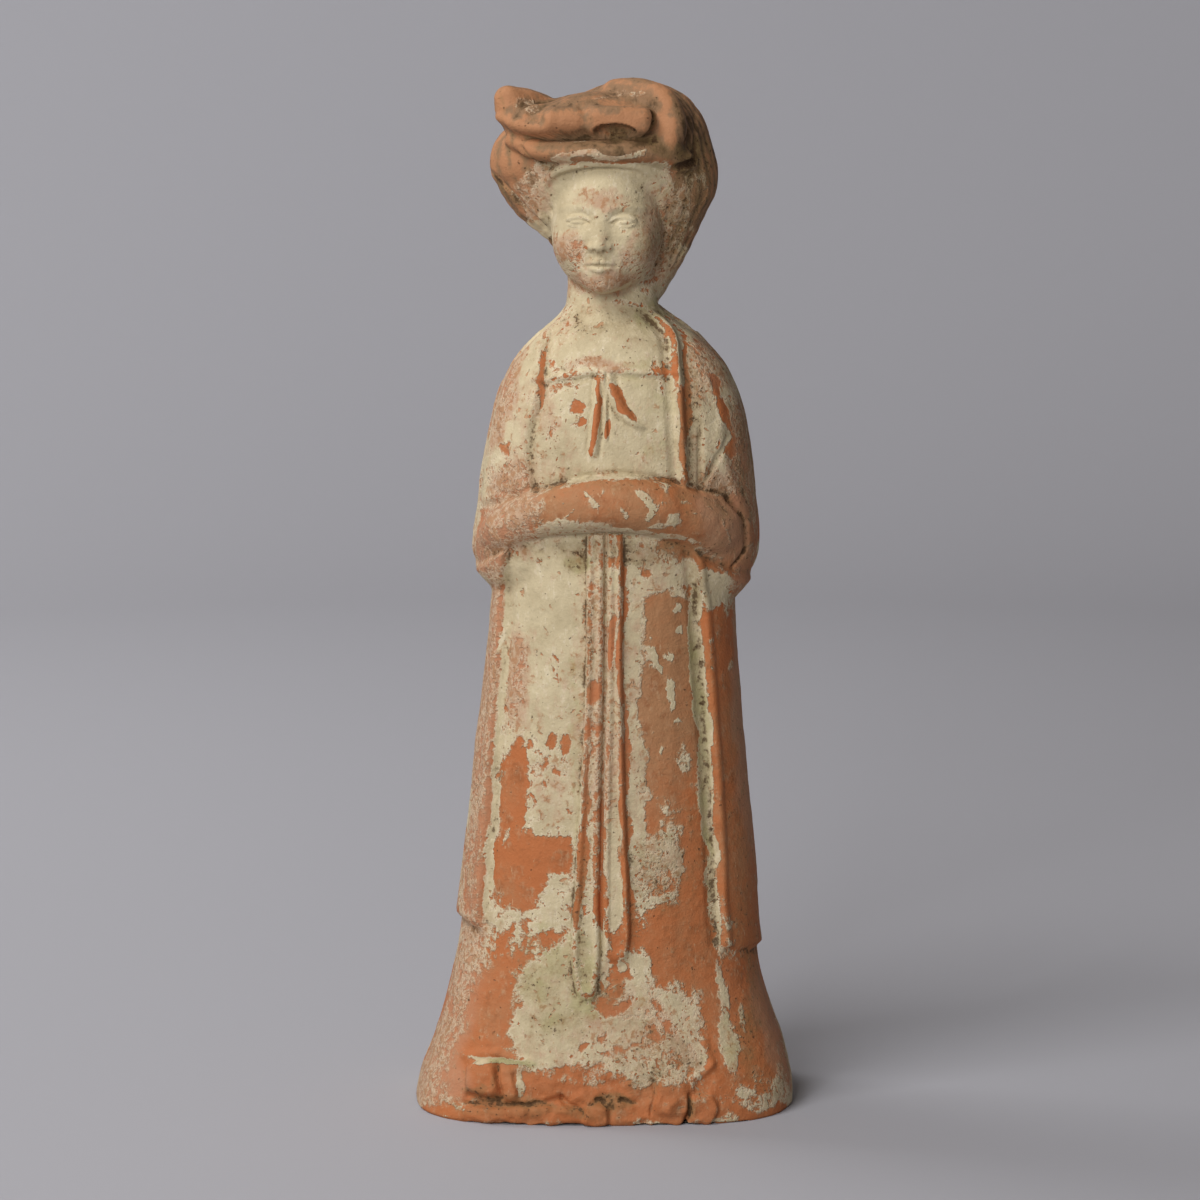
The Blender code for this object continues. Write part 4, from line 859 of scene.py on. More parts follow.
def proudness(figure):
    # points in millimetres, their normals, and how far each stands out of the clay near it
    mesh = figure.data
    count = len(mesh.vertices)
    points = vertexTable(mesh, "co") / mm
    normals = vertexTable(mesh, "normal")
    ends = np.empty(2 * len(mesh.edges), np.int32)
    mesh.edges.foreach_get("vertices", ends)
    one, other = ends.reshape(-1, 2).T
    links = np.maximum(np.bincount(one, minlength=count) + np.bincount(other, minlength=count), 1)
    smooth = points.copy()
    for _ in range(proudTurns):
        for axis in range(3):
            near = np.bincount(one, smooth[other, axis], count) + np.bincount(other, smooth[one, axis], count)
            smooth[:, axis] = 0.5 * smooth[:, axis] + 0.5 * near / links
    heights = ((points - smooth) * normals).sum(1)
    return points, normals, heights


def grooveDepth(at):
    # how deep the carved lines lie here against the clay close by, and above 0 only in them
    x, y, z = at
    here = relief(at)
    depth = 0.0
    for reach, weight in ((0.9, 1.6), (2.4, 0.8)):
        sides = ((reach, 0), (-reach, 0), (0, reach), (0, -reach))
        near = sum(relief((x + right, y, z + up)) for right, up in sides)
        depth = depth + weight * (near / 4 - here)
    return np.clip(depth, -1.0, 1.0)


# What the surface has kept and lost, brushed on as soft strokes where it shows in the picture.
# A stroke is (pixels across, pixels down, half width, half height, slant in degrees, level)

slip = dict(
    # how much of the cream slip is left: 0 is bare clay and 1 is whole
    front=0.62, back=0.60, sole=0.0,
    head=[(600, 215, 60, 80, 0, 0.86), (570, 262, 14, 20, 30, 0.60), (634, 262, 10, 20, -30, 0.58),
          (600, 286, 26, 6, 0, 0.55), (594, 160, 50, 6, 0, 0.80), (598, 165.5, 44, 1.8, 0, 0.34)],
    neck=[(616, 318, 44, 30, 0, 0.90), (630, 300, 20, 4, 0, 0.55)],
    chest=[(608, 350, 58, 16, 0, 0.84), (612, 440, 74, 60, 0, 0.92), (578, 405, 8, 9, 10, 0.22),
           (582, 422, 6, 5, 0, 0.28), (596.5, 415, 3.4, 34, 3, 0.08), (607.5, 430, 2.6, 10, 0, 0.25),
           (618, 397, 4, 13, -20, 0.06), (628, 416, 4.5, 13, -42, 0.06), (590, 472, 50, 14, 0, 0.86),
           (555, 430, 4, 9, 30, 0.45), (640, 455, 12, 4, -8, 0.6), (604, 357, 30, 5, 0, 0.70)],
    leftShoulder=[(520, 400, 34, 90, 12, 0.80), (505, 439, 9, 6, 0, 0.18), (540, 380, 3.4, 38, 8, 0.38),
                  (550, 432, 3, 9, 20, 0.4), (500, 400, 8, 40, 22, 0.55), (512, 490, 26, 40, 0, 0.70),
                  (500, 540, 26, 26, 0, 0.62), (485, 535, 6, 26, 0, 0.4), (515, 530, 16, 6, -20, 0.4)],
    rightShoulder=[(715, 430, 36, 100, -8, 0.74), (676, 410, 3, 74, 1, 0.92), (683.5, 405, 3, 74, 1, 0.16),
                   (717, 387, 5, 12, -40, 0.24), (728, 418, 5, 20, -12, 0.14), (733, 445, 4, 14, 12, 0.22),
                   (745, 470, 8, 60, -6, 0.55), (753, 530, 8, 40, 0, 0.44), (748, 566, 10, 12, 0, 0.2),
                   (703, 350, 14, 12, 40, 0.6), (712, 480, 10, 26, 20, 0.72)],
    sleeves=[(640, 506, 100, 22, 4, 0.05), (572, 506, 40, 13, -16, 0.10), (702, 532, 46, 32, 22, 0.04),
             (537, 524, 14, 14, -30, 0.42), (587, 500, 3.2, 9, -25, 0.74), (592, 508, 5, 3, 40, 0.7),
             (570, 512, 2.4, 6, 30, 0.62), (643, 499, 9, 4.4, 28, 0.86), (650, 508, 5, 6, 30, 0.8),
             (672, 520, 9, 7, 20, 0.78), (660, 503, 3, 5, 0, 0.6), (627, 512, 5, 3.5, 50, 0.66),
             (688, 503, 12, 2.4, 24, 0.6), (712, 512, 8, 1.6, 30, 0.55), (592, 529, 56, 5, -2, 0.68),
             (660, 536, 36, 5, 8, 0.66), (556, 528, 16, 9, -14, 0.60), (706, 552, 16, 6, 22, 0.5),
             (560, 500, 12, 1.4, -40, 0.56), (604, 492, 1.6, 8, 20, 0.56), (729, 530, 1.6, 14, -20, 0.56),
             (700, 521, 14, 1.4, 34, 0.54), (660, 524, 14, 2.4, 14, 0.60), (620, 498, 1.5, 6, -30, 0.56)],
    skirt=[(548, 640, 46, 86, 0, 0.97), (550, 580, 46, 30, 0, 0.94), (522, 680, 6, 34, 4, 0.60),
           (556, 677, 3, 10, -50, 0.42), (561, 709, 4, 5, 0, 0.42), (540, 560, 6, 5, 0, 0.45),
           (552, 735, 6.5, 7, 0, 0.06), (569, 739, 8, 8, -20, 0.06), (515, 752, 8, 14, 0, 0.05),
           (513, 800, 13, 44, 2, 0.05), (552, 806, 26, 36, 0, 0.84), (535, 790, 4, 4, 0, 0.4),
           (548, 784, 3.5, 5, 0, 0.35), (541, 820, 5, 4, 0, 0.45), (560, 770, 4, 3, 0, 0.4),
           (566, 812, 3, 6, 0, 0.42), (533, 806, 3, 5, 0, 0.4), (546, 762, 3, 3, 0, 0.4),
           (528, 742, 5, 4, 0, 0.42), (511, 709, 7, 4, 0, 0.42), (556, 668, 10, 2, 45, 0.46),
           (528, 860, 42, 22, 0, 0.06),
           (520, 880, 30, 24, 0, 0.07), (552, 829, 16, 9, 0, 0.72), (508, 834, 3, 8, 30, 0.66),
           (636, 700, 9, 150, 0, 0.86), (667, 700, 26, 128, -1, 0.04), (652, 660, 8, 6, 0, 0.84),
           (667, 690, 6, 18, -8, 0.76), (648, 662, 5, 2.4, 0, 0.3), (675, 608, 4.5, 6, 0, 0.8),
           (679, 628, 4, 5, 0, 0.78), (679, 719, 4.5, 6, 0, 0.7), (662, 755, 4.5, 5, 0, 0.72),
           (645, 621, 3.5, 4, 0, 0.7), (651, 640, 3, 3, 0, 0.62),
           (650, 650, 9, 3, 20, 0.74), (659, 664, 3, 8, -20, 0.72), (643, 672, 4, 3, 0, 0.3),
           (672, 655, 4, 5, 0, 0.64), (656, 735, 6, 3, 30, 0.66), (683, 760, 5, 16, 0, 0.64),
           (676, 590, 10, 4, 0, 0.66), (690, 820, 5, 12, 0, 0.66), (640, 790, 7, 18, 0, 0.66),
           (664, 826, 22, 20, 4, 0.44),
           (656, 872, 22, 38, 8, 0.60), (668, 846, 5, 16, -10, 0.7), (648, 816, 7, 14, 0, 0.15),
           (702, 740, 7, 170, -3.4, 0.84),
           (680, 935, 32, 34, -14, 0.05), (697, 900, 12, 120, -3, 0.08), (655, 572, 38, 14, 0, 0.84),
           (642, 566, 6, 5, 0, 0.4), (700, 1006, 20, 44, -12, 0.05)],
    ribbons=[(592, 640, 8, 90, 1, 0.70), (612, 700, 8, 150, 0, 0.74), (595, 694, 6, 11, 0, 0.05),
             (613, 646, 3, 28, 0, 0.16), (622.5, 720, 2.6, 160, 0, 0.10), (592, 850, 8, 100, 2, 0.62),
             (582, 870, 2.8, 120, 3, 0.12), (601, 880, 2.2, 90, 0, 0.2), (614, 860, 8, 80, 0, 0.84),
             (629, 880, 3, 70, -2, 0.10), (621, 948, 9, 9, 0, 0.12), (593, 960, 6, 26, 0, 0.84),
             (589, 988, 12, 5, 0, 0.14), (576, 720, 4, 150, 1, 0.78)],
    rightCoat=[(738, 760, 26, 190, -3, 0.12), (716, 588, 18, 17, 0, 0.84), (706, 700, 2.4, 130, -4, 0.92),
               (717, 880, 2.4, 70, -4, 0.88), (745, 700, 5, 150, -3, 0.42), (730, 668, 3, 10, 0, 0.5),
               (757, 880, 4, 60, 0, 0.3), (733, 610, 8, 30, 0, 0.5)],
    leftCoat=[(496, 680, 12, 110, 4, 0.60), (482, 840, 16, 100, 5, 0.50), (503, 670, 3.4, 100, 3, 0.86),
              (491, 850, 4, 80, 4, 0.84), (470, 860, 5, 60, 4, 0.55), (472, 934, 12, 6, 20, 0.80)],
    hem=[(604, 1030, 200, 84, 0, 0.08), (444, 1010, 26, 90, 20, 0.57), (426, 1078, 20, 24, 10, 0.60),
         (552, 905, 18, 30, 8, 0.70), (562, 985, 50, 34, -22, 0.86), (556, 1030, 42, 44, 0, 0.90),
         (588, 955, 24, 30, 0, 0.80), (636, 964, 16, 22, 0, 0.78), (630, 972, 8, 3.4, 0, 0.2),
         (655, 1020, 48, 42, 0, 0.74), (690, 1052, 16, 18, -30, 0.72), (617, 1004, 16, 7, -6, 0.14),
         (606, 1046, 40, 30, 0, 0.74), (632, 1020, 14, 5, -10, 0.62), (616, 1005, 15, 6, -6, 0.10),
         (660, 1008, 8, 6, 0, 0.42), (648, 1036, 12, 7, 20, 0.36),
         (668, 1026, 6, 10, 0, 0.40), (606, 1040, 8, 4, -30, 0.3), (585, 1043, 6, 6, -20, 0.2),
         (625, 1052, 24, 6, -4, 0.34), (600, 1076, 60, 14, 0, 0.46), (680, 1078, 28, 14, 0, 0.58),
         (636, 1066, 30, 14, 0, 0.62),
         (723, 1000, 5, 36, -10, 0.74), (731, 1044, 11, 22, -8, 0.86), (744, 1022, 4, 18, -14, 0.62),
         (745, 1088, 13, 7, -14, 0.56), (498, 1059, 33, 4, 3, 0.86), (522, 1086, 5, 13, 0, 0.74),
         (483, 1080, 16, 14, 0, 0.05), (505, 1082, 8, 16, 0, 0.12), (520, 1000, 6, 3, 30, 0.3),
         (520, 936, 7, 3, 40, 0.55), (504, 1030, 12, 2.4, 0, 0.5), (510, 1046, 16, 2, 6, 0.5),
         (600, 1114, 190, 7, 0, 0.06), (562, 1108, 60, 7, 2, 0.14)],
)
thin = dict(
    # where the slip is rubbed to a pinkish film
    level=0.30,
    strokes=[(604, 98, 70, 10, 0, 0.9), (530, 112, 18, 9, 0, 0.9), (535, 195, 22, 34, 10, 0.75),
             (672, 222, 30, 64, 10, 0.75), (596, 158, 60, 7, 0, 0.6), (620, 510, 120, 26, 4, 0.42),
             (640, 700, 12, 140, 0, 0.5), (562, 1000, 48, 62, 0, 0.42), (728, 1030, 16, 50, 0, 0.5),
             (604, 364, 34, 8, 0, 0.85), (600, 200, 30, 12, 0, 0.7), (566, 248, 14, 16, 0, 0.8),
             (636, 248, 14, 20, 0, 0.75), (600, 284, 40, 10, 0, 0.8), (500, 400, 14, 60, 20, 0.85),
             (530, 430, 22, 70, 8, 0.5), (510, 500, 26, 50, 0, 0.9), (490, 545, 18, 30, 0, 1.0),
             (540, 680, 30, 60, 0, 0.35), (518, 680, 12, 50, 0, 0.85), (550, 790, 24, 40, 0, 0.5),
             (640, 470, 40, 16, 0, 0.3), (720, 520, 24, 50, 0, 0.9), (705, 370, 24, 40, 20, 0.7),
             (745, 480, 14, 90, 0, 1.0), (490, 700, 14, 130, 4, 0.95), (478, 850, 16, 120, 4, 0.85),
             (440, 1030, 34, 90, 18, 0.85), (650, 1040, 56, 50, 0, 0.6), (745, 700, 14, 160, -2, 0.95),
             (665, 860, 30, 40, 0, 0.5), (600, 700, 30, 160, 0, 0.6), (600, 1084, 100, 20, 0, 0.45),
             (772, 1030, 14, 70, -20, 0.9), (440, 1080, 30, 24, 10, 0.9),
             (504, 670, 4.5, 110, 3, 0.1), (492, 850, 5, 84, 4, 0.1), (706, 700, 4, 140, -3, 0.1)],
)
stainAndShade = dict(
    # brown earth that stays in the hollows, with painted shade under the chin at the neck; some strokes only
    # darken the cracks and the lower edge at the foot
    level=0.14,
    strokes=[(600, 552, 110, 12, 0, 0.62), (575, 565, 12, 9, 0, 0.75), (690, 430, 14, 90, 0, 0.55),
             (698, 600, 8, 44, 0, 0.66), (707, 700, 8, 110, -3, 0.46), (716, 880, 7, 70, -3, 0.44),
             (584, 760, 8, 190, 1, 0.35), (603, 640, 6, 110, 0, 0.15), (600, 990, 24, 18, 0, 0.6),
             # (603, 322) is painted shade under the chin as well as dirt on the neck
             (590, 650, 4, 60, 0, 0.6), (560, 1005, 46, 60, 0, 0.45), (603, 322, 34, 16, 0, 0.75),
             (765, 1045, 24, 54, -16, 0.75), (752, 960, 14, 60, -10, 0.55), (720, 548, 26, 18, 30, 0.5),
             (520, 1108, 110, 6, 2, 0.6),
             (580, 900, 6, 60, 0, 0.6), (550, 470, 12, 50, 0, 0.35), (540, 400, 8, 90, 6, 0.4),
             (600, 380, 70, 5, 0, 0.4), (612, 410, 24, 34, 0, 0.3), (600, 486, 90, 6, 0, 0.5),
             # (640, 322) and (606, 316) are painted shade under the chin as well as dirt on the neck
             (640, 322, 34, 22, 0, 0.55), (606, 316, 20, 12, 0, 0.45), (655, 350, 16, 20, 0, 0.5),
             (725, 360, 20, 30, -30, 0.5), (745, 430, 14, 70, 0, 0.6), (700, 170, 16, 40, 10, 0.8),
             (670, 150, 24, 12, 0, 0.7), (675, 215, 18, 60, 20, 0.6), (540, 160, 20, 6, 20, 0.6),
             (600, 150, 56, 8, 0, 0.45), (640, 205, 10, 34, 0, 0.45), (510, 190, 6, 20, -40, 0.8),
             (715, 490, 14, 40, -20, 0.6), (748, 530, 10, 50, 0, 0.6), (660, 870, 28, 46, 0, 0.5),
             (478, 1090, 16, 4, 0, 0.9), (497, 1080, 3.4, 14, 0, 0.75), (530, 1104, 60, 5, 6, 0.7),
             (612, 1102, 22, 6, 0, 1.0), (690, 1108, 5, 12, 0, 1.0), (655, 1060, 44, 34, 0, 0.5),
             (740, 740, 14, 180, -2, 0.4), (695, 760, 12, 160, 0, 0.35), (775, 1050, 20, 50, 0, 0.4)],
)
green = dict(
    # greenish bloom in the slip, with painted shade under the chin at the neck
    level=0.10,
    strokes=[(576, 566, 14, 9, 0, 0.9), (640, 370, 30, 20, 0, 0.5), (660, 430, 24, 60, 0, 0.5),
             (576, 740, 6, 130, 0, 0.55), (699, 740, 10, 170, -3, 0.8), (560, 980, 46, 60, -10, 0.68),
             # (655, 312) is painted shade under the chin as well as bloom on the neck
             (596, 1000, 30, 20, 0, 0.85), (655, 312, 22, 16, 0, 0.7), (660, 215, 16, 50, 10, 0.45),
             (690, 230, 14, 50, 20, 0.6), (660, 850, 30, 40, 0, 0.4), (640, 1000, 40, 40, 0, 0.35),
             (535, 460, 12, 40, 0, 0.35), (510, 1060, 30, 6, 0, 0.9), (732, 1040, 12, 30, 0, 0.6),
             (748, 480, 12, 80, 0, 0.5), (620, 150, 50, 8, 0, 0.5)],
)
hairColour = dict(
    # from -1, dark olive brown, over 0, grey brown, to 1, bright orange
    level=0.0,
    strokes=[(515, 165, 30, 44, 0, 0.45), (504, 104, 7, 22, 0, 1.0), (528, 96, 16, 8, 10, 0.30),
             (530, 116, 16, 8, 10, -0.25), (528, 130, 26, 8, 20, 0.55), (566, 120, 18, 11, 0, 0.65),
             (616, 118, 32, 12, 4, 0.55), (668, 118, 8, 30, -6, 0.75), (590, 146, 62, 8, 4, -0.30),
             (640, 152, 34, 7, 0, -0.55), (600, 98, 56, 7, 0, -0.05), (640, 86, 20, 6, 0, 0.35),
             (690, 130, 14, 34, -20, -0.45), (712, 170, 6, 44, 0, 0.35), (700, 220, 12, 34, 20, 0.0),
             (688, 160, 12, 20, 0, -0.8), (508, 196, 8, 14, -40, -0.2), (535, 210, 14, 14, 40, 0.5)],
)
tanned = dict(
    # where the bare clay is browner and paler
    level=0.15,
    strokes=[(665, 680, 34, 130, 0, 0.85), (620, 508, 110, 26, 3, 0.75), (704, 530, 40, 30, 16, 0.5),
             (672, 940, 40, 60, 0, 0.35), (735, 800, 20, 140, 0, 0.4), (550, 1000, 120, 60, 0, 0.2)],
)
hairSlip = [(548, 206, 18, 44, 14, 0.90), (528, 186, 12, 22, 20, 0.50), (655, 232, 14, 60, 8, 0.82),
            (676, 222, 14, 60, 14, 0.62), (700, 200, 10, 44, 8, 0.38), (622, 98, 28, 4, -4, 0.48),
            (530, 112, 12, 6, 0, 0.44), (672, 268, 18, 26, 20, 0.80), (600, 143, 44, 1.6, 0, 0.46),
            (594, 160, 52, 4.5, 0, 0.78), (598, 166, 44, 1.4, 0, 0.40), (540, 170, 10, 8, 30, 0.56)]


wobble = dict(
    # how the strokes' edges wander in the picture, and how the surface varies from patch to patch
    across=((6.0, 8.0, 31), (2.4, 3.0, 32)), down=((9.0, 9.0, 33), (2.6, 3.0, 34)),
    patches=((0.55, 30.0, 35), (0.45, 13.0, 36)),
)
hairLine = dict(front=304.2, drop=37.0, turn=(0.62, 1.25))  # height in front, and how it drops at the sides


def brushed(level, strokes, across, down, shown, softness=0.38):
    # lays the strokes over one another on the side that shows
    for centreX, centreY, halfWidth, halfHeight, slant, stroke in strokes:
        c, s = math.cos(math.radians(slant)), math.sin(math.radians(slant))
        right, below = across - centreX, down - centreY
        away = np.hypot((right * c + below * s) / halfWidth, (below * c - right * s) / halfHeight)
        weight = smoothStep(1.0 + softness, 1.0 - softness, away) * shown
        level = level + (stroke - level) * weight
    return level


def paintFigure(figure, middle, size):
    points, normals, heights = proudness(figure)
    x, y, z = (points * size + middle).T
    at = (x, y, z)
    tilt = math.radians(picture["height"])
    shown = smoothStep(-0.02, 0.22, normals @ (0, -math.cos(tilt), math.sin(tilt)))
    across, down = inPicture(*points.T)
    across = across + waves(at, wobble["across"])
    down = down + waves(at, wobble["down"])
    patches = waves(at, wobble["patches"])
    around = combAngle(x, y)
    dropped = hairLine["drop"] * smoothStep(*hairLine["turn"], np.abs(around))
    inHair = smoothStep(-1.5, 1.5, z - hairLine["front"] + dropped)
    kept = slip["back"] + (slip["front"] - slip["back"]) * shown + 0.5 * patches * (1.0 - shown)
    for name in ("head", "neck", "chest", "leftShoulder", "rightShoulder", "skirt", "ribbons", "rightCoat",
                 "leftCoat", "hem", "sleeves"):
        kept = brushed(kept, slip[name], across, down, shown)
    bareHair = brushed(0.12 + 0.2 * patches, hairSlip, across, down, shown)
    kept = kept + (bareHair - kept) * inHair * smoothStep(-0.2, 0.3, inHair)
    kept = np.where(points[:, 2] < 0.4, slip["sole"], kept)
    # painted shade: the openings in the hair and the cave under the knot are darkened in the earth and hair
    # tone layers
    gap = np.full_like(x, 9.0)
    for start, end, width in hollows[:3] + hollows[6:9]:
        gap = np.minimum(gap, roll(at, start, end, width, width))
    paintedShade = smoothStep(1.0, -0.2, gap)
    paintedShade = np.maximum(paintedShade, 0.7 * smoothStep(0.4, -0.8, caveArch(at)))
    # the combed lines are made darker in their grooves and lighter on their crests
    strand = combLines(at) * inHair * smoothStep(0.55, 0.85, np.abs(around))
    earthAndShade = brushed(stainAndShade["level"] + 0.1 * grain(at, 15.0, 38), stainAndShade["strokes"], across, down, shown)
    hairTone = brushed(hairColour["level"] + 0.3 * patches, hairColour["strokes"], across, down, shown)
    surface = dict(
        slipLeft=kept,
        thinSlip=brushed(thin["level"] + 0.3 * grain(at, 19.0, 37), thin["strokes"], across, down, shown),
        # brown earth, plus the painted shade of the hair's openings and of the neck under the chin
        earthAndShade=earthAndShade + 1.3 * paintedShade + 0.35 * np.clip(-strand, 0.0, 1.0),
        greenBloomAndShade=brushed(green["level"], green["strokes"], across, down, shown),
        tanned=brushed(tanned["level"] + 0.2 * patches, tanned["strokes"], across, down, shown),
        # the hair's openings and the cave get painted shade in the hair tone too
        hairTone=hairTone - 0.9 * paintedShade + 0.25 * strand,
        isHair=inHair,
        groove=grooveDepth(at) * (1.0 - 0.5 * smoothStep(28.0, 20.0, z)),
        proudBroad=np.clip(heights / 0.8, -1.0, 1.0),
    )
    for name, values in surface.items():
        layer = figure.data.attributes.new(name, "FLOAT", "POINT")
        layer.data.foreach_set("value", values.astype(np.float32))
    print("surface painted,", len(surface), "layers")


# The finish: orange clay, cream slip in flakes over it, earth in the hollows, and painted shade in the hair's
# openings and under the chin

finish = dict(
    # colours as red, green, blue from 0 to 255, the way they look in even light
    clay=(176, 104, 59), clayTan=(164, 118, 80), clayDeep=(138, 83, 45), clayDust=(194, 156, 118),
    slip=(197, 181, 146), slipGrey=(178, 162, 128), slipPink=(180, 144, 116), slipRim=(216, 202, 172),
    # earth is also the painted shade in the hair's openings and under the chin; olive and the green bloom
    # carry part of that shade on the neck
    earthAndShade=(78, 54, 32), olive=(128, 104, 66), greenBloomAndShade=(162, 156, 104),
    # hairDark also shows the painted shade in the hair's openings
    hairDark=(84, 62, 38), hairGrey=(134, 102, 72), hairOrange=(167, 117, 80),
    flakeSharpness=0.09,
    slipThickness=0.00028,
    clayGrain=0.00012,
    shine=0.28,
)
noises = dict(
    # lumps in the surface: size in metres, detail, roughness and warp
    broad=(0.013, 2.0, 0.55, 0.3), middling=(0.0042, 3.0, 0.6, 0.4), small=(0.0014, 2.0, 0.6),
    tiny=(0.0005, 1.0, 0.5), ragged=(0.0026, 5.0, 0.72, 0.5), pits=(0.0011, 2.0, 0.6),
    holes=(0.0019, 1.5, 0.5, 0.6), film=(0.0060, 4.0, 0.7), mottle=(0.007, 4.0, 0.65),
    bloomAndShade=(0.005, 3.0, 0.6), soiled=(0.0034, 4.0, 0.75), speck=(0.0009, 2.0, 0.6),
)
uprightNoises = dict(streaks=(0.0012, 3.0, 0.7), scratch=(0.0007, 2.0, 0.6))  # drawn out up the figure
uprightScale = (1.0, 1.0, 0.3)


def fromScreen(colour):
    # the light that a colour on a screen stands for
    shares = [c / 255 for c in colour]
    linear = [c / 12.92 if c < 0.04045 else ((c + 0.055) / 1.055) ** 2.4 for c in shares]
    return (*linear, 1.0)


class Bench:
    # lays nodes out from left to right and joins them by name
    def __init__(self, material):
        self.tree = material.node_tree
        self.place = 0

    def add(self, kind, **settings):
        node = self.tree.nodes.new(kind)
        self.place += 1
        node.location = (-2400 + 220 * (self.place // 6), 600 - 230 * (self.place % 6))
        for name, value in settings.items():
            setattr(node, name, value)
        return node

    def join(self, value, socket):
        if isinstance(value, bpy.types.NodeSocket):
            self.tree.links.new(value, socket)
        else:
            socket.default_value = value

    def layer(self, name):
        return self.add("ShaderNodeAttribute", attribute_name=name).outputs["Fac"]

    def sum(self, operation, first, second=0.0, third=0.0, clamp=False):
        node = self.add("ShaderNodeMath", operation=operation, use_clamp=clamp)
        for value, socket in zip((first, second, third), node.inputs):
            self.join(value, socket)
        return node.outputs[0]

    def times(self, first, second):
        return self.sum("MULTIPLY", first, second)

    def pile(self, base, *parts):
        # adds each value, times its share, onto the base
        for value, share in parts:
            base = self.sum("MULTIPLY_ADD", value, share, base)
        return base

    def step(self, value, low, high):
        node = self.add("ShaderNodeMapRange", interpolation_type="SMOOTHSTEP")
        self.join(value, node.inputs["Value"])
        node.inputs["From Min"].default_value = low
        node.inputs["From Max"].default_value = high
        return node.outputs["Result"]

    def blend(self, share, first, second):
        node = self.add("ShaderNodeMix", data_type="RGBA")
        colours = [socket for socket in node.inputs if socket.type == "RGBA"]
        self.join(share, node.inputs["Factor"])
        self.join(first, colours[0])
        self.join(second, colours[1])
        return next(socket for socket in node.outputs if socket.type == "RGBA")

    def coat(self, colour, over, value, low, high, strength=1.0):
        # lays a tone over a colour where the value rises from low to high
        share = self.step(value, low, high)
        return self.blend(self.times(share, strength), colour, over)

    def spots(self, place, cellSize, detail, rough, warp=0.0):
        # noise from -1 to 1 with lumps of about this size, in metres
        node = self.add("ShaderNodeTexNoise")
        self.join(place, node.inputs["Vector"])
        node.inputs["Scale"].default_value = 0.7 / cellSize
        node.inputs["Detail"].default_value = detail
        node.inputs["Roughness"].default_value = rough
        node.inputs["Distortion"].default_value = warp
        return self.sum("MULTIPLY_ADD", node.outputs["Fac"], 4.0, -2.0)


